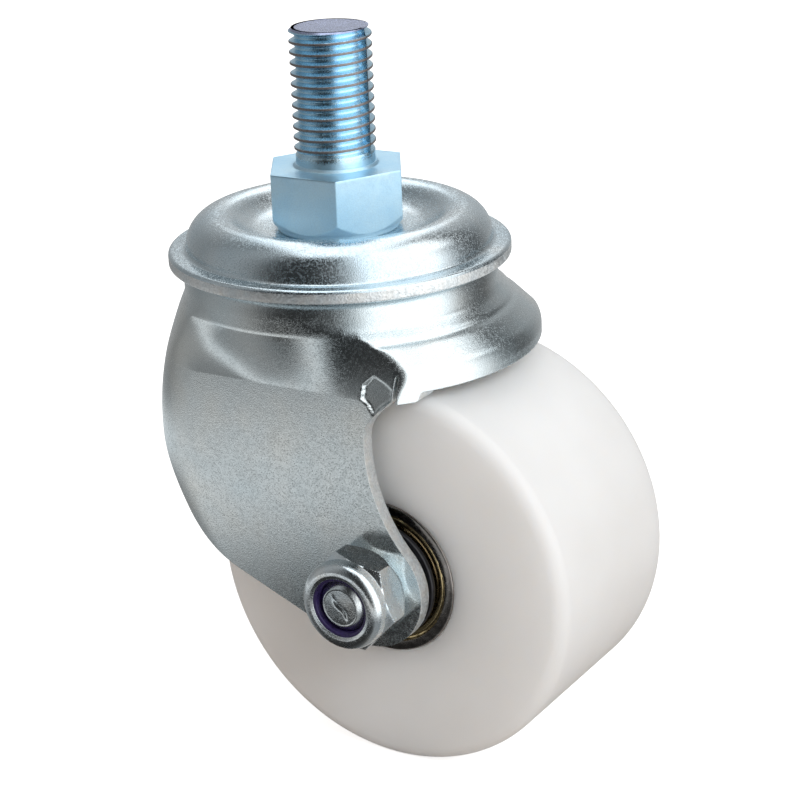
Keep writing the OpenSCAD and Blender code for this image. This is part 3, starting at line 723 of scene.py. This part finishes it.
# The crown's upper and lower faces, from the centre hole out to the neck, with the ball tracks pressed in
def crownLines():
    r = np.linspace(fork["hole"], fork["neck"] - fork["shoulder"], 30)
    low, high = r - crown["lowRow"], r - crown["highRow"]
    bulge = crown["lowHeight"] + arcOver(crown["bulge"], low)
    top = np.maximum(fork["crown"], np.where(np.abs(low) < crown["bulge"], bulge, -99))
    track = crown["highHeight"] - arcOver(crown["highTrack"], high)
    top = np.where(np.abs(high) < crown["highHalf"], np.minimum(top, track), top)
    under = np.full_like(r, fork["crown"] - fork["sheet"])
    groove = crown["lowHeight"] + arcOver(crown["lowTrack"], low)
    under = np.where(np.abs(low) < crown["lowHalf"], np.maximum(under, groove), under)
    swell = crown["highHeight"] - arcOver(crown["swell"], high)
    under = np.where(np.abs(high) < crown["swellHalf"], np.minimum(under, swell), under)
    return np.stack([r, top], 1), np.stack([r, under], 1)


# The shoulder's outer and inner arcs; the inner one stays clear below the upper row's swell
def shoulderLines():
    x, z = fork["neck"] - fork["shoulder"], fork["crown"] - fork["shoulder"]
    outer = arcLine(x, z, fork["shoulder"], 90, 0, 11)[1:]
    inner = arcLine(x, z, fork["shoulder"] - fork["sheet"], 90, 0, 9)[1:]
    swell = crown["highHeight"] - arcOver(crown["swell"], inner[:, 0] - crown["highRow"])
    inner[:, 1] = np.minimum(inner[:, 1], swell)
    return outer, inner


# Outer wall and, one sheet further in along its normal, inner wall; the facets are struck into the outer one
def forkWalls(phi):
    # Rows stand close together over the cheek and the facet, and far apart on the plain neck and legs
    z = np.concatenate([np.linspace(fork["crown"] - fork["shoulder"], fork["neckEnd"], 6)[1:],
                        np.linspace(fork["neckEnd"], fork["fineEnd"], 80)[1:],
                        np.linspace(fork["fineEnd"], fork["bottom"], 40)[1:]])[:, None]
    wall = lambda turn, rise: aboutSwivel(forkRadius(phi + turn, z + rise), z + rise, phi + turn)
    outer = wall(0, 0)
    dz, da = 0.05, 0.0015
    normal = np.cross(wall(0, -dz) - wall(0, dz), wall(da, 0) - wall(-da, 0))
    normal /= np.linalg.norm(normal, axis=-1, keepdims=True)
    inner = outer - fork["sheet"] * normal
    x, y, height = outer[..., 0], np.abs(outer[..., 1]), outer[..., 2]
    push = smoothStep(0, struck["edge"], insideBy(np.array(struck["outline"]), x, height)) * (y > 20)
    seat = struck["y"] - struck["slope"] * (height - struck["z"])
    outer[..., 1] -= np.sign(outer[..., 1]) * push * np.maximum(y - seat, 0)
    return outer, inner


# Directions round the swivel axis, closer together where the sheet turns sharply
def forkAngles():
    bends = [0, 36, 52, 90, 128, 160, 180]
    counts = [26, 44, 42, 50, 44, 14]
    parts = [np.linspace(a, b, n, endpoint=False) for a, b, n in zip(bends, bends[1:], counts)]
    half = np.concatenate(parts + [[180.0]])
    return np.radians(np.concatenate([half, -half[-2:0:-1]]))[None, :]


# The whole sheet as rings: crown, shoulder and wall outside, then the same back inside. The inner wall is
# hidden or in shade, so it keeps every fourth row
def forkRings():
    phi = forkAngles()
    ring = lambda line: aboutSwivel(line[:, :1], line[:, 1:2], phi)
    top, under = crownLines()
    shoulder, shoulderIn = shoulderLines()
    outer, inner = forkWalls(phi)
    inside = [inner[::-4], ring(shoulderIn)[::-1], ring(under)[::-1]]
    return np.concatenate([ring(top), ring(shoulder), outer] + inside)


# The fork seen from the side: what lies inside this outline stays. It runs from the skirt's lip with its nib
# and slit down the leg's hollow front edge, round the boss and up the back
def sideOutline():
    lip, nib = fork["skirtLow"], fork["nibLow"]
    front = roundedLine([(60, lip), (31.0, lip, 0.5), (30.6, nib, 0.5), (28.0, nib, 0.25),
                         (28.0, -30.4, 0.12), (27.4, -30.4, 0.12), (27.3, -34.6, 0.7), (25.2, -36.6, 0.5),
                         (24.5, -36.9, 0.5), (21.1, -40.6, 6.5), (21.08, -44.2)], 9)
    hollow = arcLine(51.58, -44.2, 30.5, 180, 222.4, 30)[1:-1]
    boss = arcLine(axle["x"], axle["z"], fork["boss"], 42.4, -90, 60)
    low = axle["z"] - fork["boss"]
    back = roundedLine([(axle["x"], low), (14.6, low, 28.0), (-16.2, -71.6, 26.0), (-29.0, -52.0),
                        (-70.0, 11.0)], 24)
    return np.concatenate([front, hollow, boss, back[1:], [[-70.0, 20.0], [60.0, 20.0]]])


# A bar through the fork with the given outline
def cutter(name, outline):
    n = len(outline)
    ends = [np.insert(outline, 1, y, axis=1) for y in (-60.0, 60.0)]
    i, j = np.arange(n), (np.arange(n) + 1) % n
    faces = np.stack([i, j, j + n, i + n], 1).tolist() + [list(range(n))[::-1], list(range(n, 2 * n))]
    obj = bpy.data.objects.new(name, solidMesh(name, np.concatenate(ends), faces))
    bpy.context.scene.collection.objects.link(obj)
    return obj


# Keeps or takes away what lies in the bar; the faces it leaves are cut edges, so they take the second finish,
# rougher and painted lighter as a highlight along the edge
def cutWith(obj, tool, how):
    for finish in forkFinishes:
        tool.data.materials.append(finish)
    tool.data.polygons.foreach_set("material_index", np.ones(len(tool.data.polygons), np.int32))
    mod = obj.modifiers.new(how, "BOOLEAN")
    mod.operation = how
    mod.solver = "MANIFOLD"
    mod.object = tool
    bpy.context.view_layer.update()
    made = bpy.data.meshes.new_from_object(obj.evaluated_get(bpy.context.evaluated_depsgraph_get()))
    obj.modifiers.remove(mod)
    obj.data = made
    bpy.data.objects.remove(tool)


# The pressed sheet, cut to its outline and drilled for the axle
def forkMesh():
    obj = bpy.data.objects.new("forkSheet", ringMesh("forkPressed", forkRings(), True, 32))
    for finish in forkFinishes:
        obj.data.materials.append(finish)
    bpy.context.scene.collection.objects.link(obj)
    cutWith(obj, cutter("sideCut", sideOutline()), "INTERSECT")
    hole = arcLine(axle["x"], axle["z"], fork["axleHole"], 0, 360, 97)[:-1]
    cutWith(obj, cutter("axleCut", hole), "DIFFERENCE")
    mesh = obj.data
    bpy.data.objects.remove(obj)
    mesh.polygons.foreach_set("use_smooth", np.ones(len(mesh.polygons), bool))
    mesh.set_sharp_from_angle(angle=math.radians(32))
    return mesh


forkFinishes = [paint["forkZinc"], paint["cutEdgeHighlightZinc"]]
piece("forkPressed", forkMesh(), "fork", forkFinishes, ["fork"])
print("fork done")


# Wheel, bearings, washers and axle

wheel = {"radius": 38.1, "half": 20.7, "edge": 2.9, "seat": 11.7, "bore": 13.0, "pocket": 15.01,
         "pocketEdge": 0.35}
bearing = {"outer": 15.0, "recess": 13.05, "land": 12.0, "inner": 8.0, "bore": 5.0, "mid": 16.2, "half": 4.5,
           "seat": 3.2, "outerTrack": 12.7, "innerTrack": 7.4, "rim": 0.45, "corner": 0.3}
stake = {"radius": 12.72, "wide": 0.16, "high": 0.16, "count": 30}


# The tread and both faces with round edges, and the two pockets for the bearings with the bore between
def wheelProfile():
    radius, half, edge = wheel["radius"], wheel["half"], wheel["edge"]
    pocket, seat = wheel["pocket"], wheel["seat"]
    outside = roundedLine([(pocket, seat), (pocket, half, wheel["pocketEdge"]), (radius, half, edge),
                           (radius, -half, edge), (pocket, -half, wheel["pocketEdge"]), (pocket, -seat)], 12)
    inside = [[wheel["bore"], -seat], [wheel["bore"], seat], [pocket, seat]]
    return denseLine(np.concatenate([outside, inside]), 3.0)[:-1]


# The outer ring's section: ground outside, a step for each shield, and a V for the balls' track in the land
def outerRingProfile():
    half, rim, recess, land, seat = (bearing[k] for k in ("half", "rim", "recess", "land", "seat"))
    line = roundedLine([(14.0, -half), (bearing["outer"], -half, rim), (bearing["outer"], half, rim),
                        (recess, half, 0.12), (recess, seat), (land, seat, 0.1), (land, 1.2),
                        (bearing["outerTrack"], 0.0), (land, -1.2), (land, -seat, 0.1), (recess, -seat),
                        (recess, -half, 0.12), (14.0, -half)], 6)
    return denseLine(line, 1.5)[:-1] + [0, bearing["mid"]]


# The inner ring's section: bore and rounded corners, with a V for the balls' track
def innerRingProfile():
    half, bore, inner, corner = (bearing[k] for k in ("half", "bore", "inner", "corner"))
    line = roundedLine([(6.5, -half), (bore, -half, corner), (bore, half, corner), (inner, half, corner),
                        (inner, 1.5), (bearing["innerTrack"], 0.0), (inner, -1.5), (inner, -half, corner),
                        (6.5, -half)], 5)
    return denseLine(line, 1.5)[:-1] + [0, bearing["mid"]]


# The shield is a dished disc: a flat web, a rolled step and a rim that is staked into the ring at even places
def shieldRings(side, flip):
    angles = np.linspace(0, 2 * np.pi, 288, endpoint=False)[None, :]
    line = roundedLine([(10.5, 3.30), (8.55, 3.30, 0.08), (8.55, 3.60, 0.1), (11.0, 3.62, 0.4),
                        (11.6, 3.92, 0.35), (12.3, 3.92, 0.3), (12.55, 3.66, 0.1), (12.80, 3.72, 0.1),
                        (13.03, 3.72, 0.08), (13.03, 3.22, 0.05), (12.3, 3.24, 0.1), (10.5, 3.30)], 6)[:-1]
    radius, out = line[:, :1], line[:, 1:2]
    raised = np.exp(-((radius - stake["radius"]) / stake["wide"]) ** 2) * (out > 3.5)
    out = out + stake["high"] * raised * smoothStep(0.80, 0.95, np.cos(stake["count"] * angles))
    return aboutAxle(radius + 0 * angles, bearing["mid"] + flip * out, angles, side)


# The dust washer's section: a disc near the wheel on a short hub that ends at 23.8 from the middle. It is a
# black steel part, and its wide black disc is also partly painted shade for the gap between leg and bearing
def dustProfile():
    line = roundedLine([(6.0, 20.7), (5.05, 20.7, 0.1), (5.05, 23.8, 0.1), (7.2, 23.8, 0.15),
                        (7.2, 22.3, 0.25), (11.5, 22.3, 0.35), (11.5, 21.1, 0.35), (7.2, 21.1, 0.15),
                        (7.2, 20.7, 0.1), (6.0, 20.7)], 6)
    return denseLine(line, 1.5)[:-1]


wheelMesh = lathe("wheelSolid", wheelProfile(), 256, aboutAxle)
piece("wheelSolid", wheelMesh, "wheel", paint["wheelNylon"], ["wheel"])

# What each side has: ending of the name, section, columns, body, slot, finish and ending of its node
turnedPieces = [
    ("OuterRing", outerRingProfile(), 192, "wheel", "ring_steel", "ringSteel", "_outer_ring"),
    ("InnerRing", innerRingProfile(), 128, "fork", "ring_steel", "ringSteel", "_inner_ring"),
    ("DustWasher", dustProfile(), 160, "fork", "dust_black", "dustBlackAndShade", "_dust_washer"),
]
for sideName, side in (("near", 1), ("far", -1)):
    for ending, profile, columns, body, slotName, finish, node in turnedPieces:
        mesh = lathe(sideName + ending, profile, columns, aboutAxle, side=side)
        piece(sideName + ending, mesh, body, paint[finish], [sideName + node])
    for ending, flip in (("ShieldOut", 1), ("ShieldIn", -1)):
        mesh = ringMesh(sideName + ending, shieldRings(side, flip), True)
        piece(sideName + ending, mesh, "wheel", paint["shieldGold"], [sideName + "_shields"])

nut = {"width": 17.0, "corner": 9.72, "turn": -13.5, "bore": 5.05, "base": 26.6, "hexTop": 33.2,
       "footRadius": 8.05, "footSlope": 0.70, "topRadius": 8.62, "topSlope": 1.70}
# The collar's section, rolled over the insert, and the insert's own
nutCollar = [(8.5, 33.35), (8.5, 36.3, 1.7), (6.4, 36.34, 0.4), (5.75, 36.2, 0.12), (5.75, 35.6)]
insertSection = [(5.6, 33.2), (5.0, 33.2, 0.05), (5.0, 35.2, 0.3), (5.3, 35.95, 0.3), (6.5, 35.98, 0.2),
                 (6.5, 33.2, 0.05), (5.6, 33.2)]
bolt = {"width": 16.0, "corner": 9.15, "turn": 30.0, "end": 35.93, "endRadius": 3.6, "ridge": 0.30,
        "ridgeWide": 0.28, "wave": 0.25, "footRadius": 7.7, "footSlope": 6.0, "topRadius": 7.75,
        "topSlope": 1.55, "headEnd": -33.0}
# The bolt's end chamfer, shank and the fillet under its head
boltShank = [(3.62, 35.9), (3.75, 35.86, 0.08), (4.93, 34.7, 0.1), (4.93, 20.0), (4.93, -26.3),
             (5.2, -26.62, 0.1), (7.6, -26.62)]


# Rings about the axle from steps of radius and height; a radius may change with the angle
def axleRings(steps, angles):
    return np.array([aboutAxle(r + 0 * angles, h, angles)[0] for r, h in steps])


# The lock nut: a hexagon cut back by a cone at each end, then a collar rolled over its insert
def nutRings():
    angles = hexAngles(nut["turn"], 30)
    hexR = hexRadius(nut["width"], nut["turn"], angles, nut["corner"])
    base, top, bore = nut["base"], nut["hexTop"], nut["bore"]
    steps = [(bore, 30.0), (bore, 26.9), (5.4, 26.62), (7.9, base)]
    heights = [np.linspace(26.62, 29.2, 16), np.linspace(29.5, 31.6, 5), np.linspace(31.7, top, 14)]
    for h in np.concatenate(heights):
        foot = nut["footRadius"] + (h - base) * nut["footSlope"]
        steps.append((np.minimum(np.minimum(hexR, foot), nut["topRadius"] + (top - h) * nut["topSlope"]), h))
    steps += [(8.52, 33.28), *roundedLine(nutCollar, 12), (6.55, 35.6), (6.55, top), (bore, top)]
    return axleRings(steps, angles)


# The bolt: its end face at the nut's side is slightly hollow with a wavy sheared ridge across it, and its
# head is a hexagon with a domed top
def boltRings():
    angles = hexAngles(bolt["turn"], 30)
    hexR = hexRadius(bolt["width"], bolt["turn"], angles, bolt["corner"])
    steps = []
    for r in (0.15, 0.5, 0.9, 1.3, 1.7, 2.1, 2.5, 2.9, 3.3, 3.6):
        x, z = r * np.cos(angles), r * np.sin(angles)
        along = z * 0.80 - x * 0.60
        across = (x * 0.80 + z * 0.60) + bolt["wave"] * np.sin(1.6 * along)
        ridge = np.exp(-(across / bolt["ridgeWide"]) ** 2) * smoothStep(2.8, 1.4, np.abs(along))
        steps.append((r, bolt["end"] - bolt["ridge"] * ridge - 0.04 * (r / bolt["endRadius"]) ** 2))
    steps += list(roundedLine(boltShank, 5))
    for h in np.linspace(-26.65, -26.9, 3):
        steps.append((np.minimum(hexR, bolt["footRadius"] + (-26.6 - h) * bolt["footSlope"]), h))
    for h in np.concatenate([np.linspace(-27.2, -31.2, 6), np.linspace(-31.3, bolt["headEnd"], 14)]):
        steps.append((np.minimum(hexR, bolt["topRadius"] + (h - bolt["headEnd"]) * bolt["topSlope"]), h))
    steps += [(7.4, bolt["headEnd"]), (6.2, -32.98), (6.0, -32.8), (3.0, -32.78), (0.6, -32.78)]
    return axleRings(steps, angles)


nutMesh = ringMesh("axleNut", nutRings(), True, 30)
piece("axleNut", nutMesh, "fork", paint["nutZinc"], ["axle_nut"])
insertMesh = lathe("nutInsert", roundedLine(insertSection, 6)[:-1], 144, aboutAxle)
piece("nutInsert", insertMesh, "fork", paint["insertViolet"], ["nut_insert"])
boltMesh = ringMesh("axleBolt", boltRings(), False, 30)
piece("axleBolt", boltMesh, "fork", paint["nutZinc"], ["axle_bolt"])
print("wheel and axle done")


# Stage: floor, reflecting studio shell, lamps and camera

# The camera as solved from the photo; its focal length is 2197.658 pixels of a picture 800 pixels wide
view = {"place": (0.226546, -0.334309, 0.100832), "azimuth": 32.665, "elevation": 20.229, "roll": -2.237,
        "focal": 2197.658 / 800, "sensor": 36}
floor = {"z": -0.1107, "half": 2.4, "glow": 0.75, "plain": (0.93, 0.93, 0.93), "bounce": (0.74, 0.68, 0.63),
         "mirror": (0.97, 0.99, 1.0)}
# How bright the studio is by azimuth from the camera's side, in degrees: a dark flag in front and left,
# a broad softbox to the right, a second flag past it, and grey walls behind
studioTurn = [(-180, 0.55), (-160, 0.42), (-142, 0.32), (-122, 0.25), (-104, 0.33), (-84, 0.36),
              (-66, 0.27), (-54, 0.10), (-43, 0.04), (-22, 0.035), (-6, 0.10), (3, 0.32), (13, 1.00),
              (23, 1.75), (74, 1.75), (85, 0.95), (95, 0.32), (107, 0.15), (122, 0.12), (138, 0.35),
              (160, 0.52), (180, 0.55)]
brightest = 1.8
# The strip light overhead, in a plane one unit up: half its width, its front end and its back end; and the
# panel beside it, by its parts aside and towards the camera in that plane and by its height
strip = {"half": 0.37, "front": 0.36, "back": -2.3, "soft": 0.08, "bright": 1.75,
         "colour": (0.96, 0.985, 1.0)}
panel = {"aside": (0.36, 0.54), "toward": (-0.50, -0.25), "up": (0.55, 0.85)}
# What reflections see of the floor: a painted shadow right under the castor, pale beside it, then the
# studio's own light
under = {"dark": 0.90, "dimMost": 0.30, "near": 0.80, "share": 0.8, "inner": (0.100, 0.145),
         "outer": (0.185, 0.250), "leftward": 0.022, "leftTurn": (-105.0, -70.0)}
shell = {"radius": 1.5, "low": -6, "high": 89}
sky = {"strength": 0.37, "warm": (1.0, 0.955, 0.92), "white": (1, 1, 1)}
# Each lamp's place, aim, size, power and colour
lamps = {
    "keyLamp": ((0.95, -0.35, 0.75), (0.01, 0, -0.05), 0.7, 10.4, (0.93, 0.97, 1.0)),
    "fillLamp": ((-0.9, -0.5, 0.35), (0, 0, -0.05), 0.8, 0.6, (1.0, 0.985, 0.96)),
    "topLamp": ((-0.1, 0.5, 1.0), (0.01, 0, -0.05), 0.9, 2.4, (1, 1, 1)),
}


# The camera stands at its place and looks along azimuth and elevation, turned by the roll
def addCamera():
    a, e, c = (math.radians(view[k]) for k in ("azimuth", "elevation", "roll"))
    back = Vector((math.sin(a) * math.cos(e), -math.cos(a) * math.cos(e), math.sin(e)))
    right = Vector((math.cos(a), math.sin(a), 0))
    up = back.cross(right)
    r2 = math.cos(c) * right + math.sin(c) * up
    u2 = -math.sin(c) * right + math.cos(c) * up
    m = Matrix(((r2.x, u2.x, back.x), (r2.y, u2.y, back.y), (r2.z, u2.z, back.z))).to_4x4()
    m.translation = Vector(view["place"])
    data = bpy.data.cameras.new("photoCamera")
    data.sensor_width = view["sensor"]
    data.lens = view["focal"] * view["sensor"]
    data.clip_start, data.clip_end = 0.01, 20
    cam = bpy.data.objects.new("photoCamera", data)
    cam.matrix_world = m
    bpy.context.scene.collection.objects.link(cam)
    bpy.context.scene.camera = cam


# A material without a shader, for a piece of the stage
def stageNodes(mesh, name):
    mat = bpy.data.materials.new(name)
    mat.use_nodes = True
    mat.node_tree.nodes.clear()
    mesh.materials.append(mat)
    return mat.node_tree


def emission(nt, colour, strength):
    inputs = {"Color": (*colour, 1), "Strength": strength}
    return addNode(nt, "ShaderNodeEmission", inputs).outputs["Emission"]


# Splits a place seen from the axis into azimuth in degrees and its parts towards the camera, aside and up
def studioDirection(nt):
    coords = addNode(nt, "ShaderNodeTexCoord").outputs["Object"]
    turn = {"Vector": coords, "Angle": -math.radians(view["azimuth"])}
    turned = addNode(nt, "ShaderNodeVectorRotate", turn, rotation_type="Z_AXIS").outputs["Vector"]
    aside, away, up = axes(nt, turned)
    toward = times(nt, away, -1.0)
    azimuth = times(nt, calc(nt, "ARCTAN2", aside, toward), math.degrees(1))
    return azimuth, toward, aside, up


# The studio's brightness at an azimuth, from a ramp that holds shares of the brightest
def azimuthLight(nt, azimuth):
    place = mapRange(nt, azimuth, -180.0, 180.0)
    stops = [((a + 180) / 360, (v / brightest,) * 3) for a, v in studioTurn]
    return times(nt, firstChannel(nt, ramp(nt, place, stops)), brightest)


# What a reflection sees of the floor at a place, with the castor's shadow painted in close by
def floorMirror(nt):
    azimuth, toward, aside = studioDirection(nt)[:3]
    dist = planeLength(nt, toward, aside)
    far = azimuthLight(nt, azimuth)
    beside = calc(nt, "MAXIMUM", times(nt, far, under["share"]), under["near"])
    left = softRange(nt, azimuth, *under["leftTurn"])
    closeBy = plus(nt, dist, calc(nt, "MULTIPLY_ADD", left, under["leftward"], -under["leftward"]))
    # Painted shadow: reflections see the floor darker close under the castor
    castorShadow = calc(nt, "MINIMUM", times(nt, far, under["dark"]), under["dimMost"])
    outward = softRange(nt, closeBy, *under["inner"])
    nearSide = calc(nt, "MULTIPLY_ADD", outward, calc(nt, "SUBTRACT", beside, castorShadow), castorShadow)
    reach = softRange(nt, dist, *under["outer"])
    return plus(nt, times(nt, far, reach), times(nt, nearSide, oneLess(nt, reach)))


# The floor is white to the camera and keeps the soft shadow. Reflections see it as the table's card, with a
# painted shadow under the castor
def addFloor():
    n, z = floor["half"], floor["z"]
    mesh = bpy.data.meshes.new("floor")
    mesh.from_pydata([(-n, -n, z), (n, -n, z), (n, n, z), (-n, n, z)], [], [(0, 1, 2, 3)])
    obj = bpy.data.objects.new("floor", mesh)
    bpy.context.scene.collection.objects.link(obj)
    nt = stageNodes(mesh, "floorWhite")
    path = addNode(nt, "ShaderNodeLightPath").outputs
    given = mixColor(nt, path["Is Diffuse Ray"], floor["plain"], floor["bounce"])
    diffuse = addNode(nt, "ShaderNodeBsdfDiffuse", {"Color": given}).outputs["BSDF"]
    seenRay = calc(nt, "ADD", path["Is Camera Ray"], path["Is Transmission Ray"], clamp=True)
    glow = emission(nt, (1, 1, 1), times(nt, seenRay, floor["glow"]))
    seen = addNode(nt, "ShaderNodeAddShader", {0: diffuse, 1: glow}).outputs["Shader"]
    mirrored = emission(nt, floor["mirror"], floorMirror(nt))
    final = addNode(nt, "ShaderNodeMixShader", {0: path["Is Glossy Ray"], 1: seen, 2: mirrored})
    addNode(nt, "ShaderNodeOutputMaterial", {"Surface": final.outputs["Shader"]})


# The light overhead by place: the strip between its sides and ends, and the panel, each with soft borders
def overheadLight(nt, toward, aside, up):
    height = calc(nt, "MAXIMUM", up, 0.05)
    sideways = calc(nt, "DIVIDE", aside, height)
    across = calc(nt, "ABSOLUTE", sideways)
    along = calc(nt, "DIVIDE", toward, height)
    soft = strip["soft"]
    lit = oneLess(nt, softRange(nt, across, strip["half"] - soft, strip["half"] + soft))
    lit = times(nt, lit, oneLess(nt, softRange(nt, along, strip["front"] - soft, strip["front"] + soft)))
    lit = times(nt, lit, softRange(nt, along, strip["back"] - soft, strip["back"] + soft))
    right = times(nt, softRange(nt, sideways, *panel["aside"]), softRange(nt, along, *panel["toward"]))
    right = times(nt, right, softRange(nt, up, *panel["up"]))
    return times(nt, calc(nt, "MAXIMUM", lit, right), strip["bright"])


# A dome round the set that only reflections see: the studio by azimuth, and the light overhead
def addStudioShell():
    u = np.linspace(0, 2 * np.pi, 65)[None, :-1]
    v = np.radians(np.linspace(shell["low"], shell["high"], 33))[:, None]
    radius = shell["radius"] / mm
    mesh = ringMesh("studioShell", aboutSwivel(radius * np.cos(v), radius * np.sin(v), u), False)
    obj = bpy.data.objects.new("studioShell", mesh)
    bpy.context.scene.collection.objects.link(obj)
    nt = stageNodes(mesh, "studioLight")
    azimuth, toward, aside, up = studioDirection(nt)
    total = calc(nt, "MAXIMUM", azimuthLight(nt, azimuth), overheadLight(nt, toward, aside, up))
    addNode(nt, "ShaderNodeOutputMaterial", {"Surface": emission(nt, strip["colour"], total)})
    for ray in ("camera", "diffuse", "shadow", "transmission", "volume_scatter"):
        setattr(obj, "visible_" + ray, False)


def addLamp(name, place, aim, size, power, colour):
    data = bpy.data.lights.new(name, "AREA")
    data.shape = "DISK"
    data.size = size
    data.energy = power
    data.color = colour
    obj = bpy.data.objects.new(name, data)
    turn = (Vector(place) - Vector(aim)).to_track_quat("Z", "Y").to_matrix().to_4x4()
    obj.matrix_world = Matrix.Translation(place) @ turn
    obj.visible_glossy = False
    bpy.context.scene.collection.objects.link(obj)


# White where it is seen or mirrored, and a dimmer, warmer light on everything else
def addWorld():
    world = bpy.data.worlds.new("studioWorld")
    world.use_nodes = True
    nt = world.node_tree
    path = addNode(nt, "ShaderNodeLightPath").outputs
    direct = plus(nt, path["Is Camera Ray"], path["Is Glossy Ray"])
    seen = calc(nt, "ADD", direct, path["Is Transmission Ray"], clamp=True)
    back = nt.nodes["Background"]
    strength = plus(nt, times(nt, seen, 1.0 - sky["strength"]), sky["strength"])
    nt.links.new(strength, back.inputs["Strength"])
    nt.links.new(mixColor(nt, seen, sky["warm"], sky["white"]), back.inputs["Color"])
    bpy.context.scene.world = world


addCamera()
addFloor()
addStudioShell()
addWorld()
for lampName, settings in lamps.items():
    addLamp(lampName, *settings)
bpy.context.scene.view_settings.view_transform = "Standard"
print("stage done")
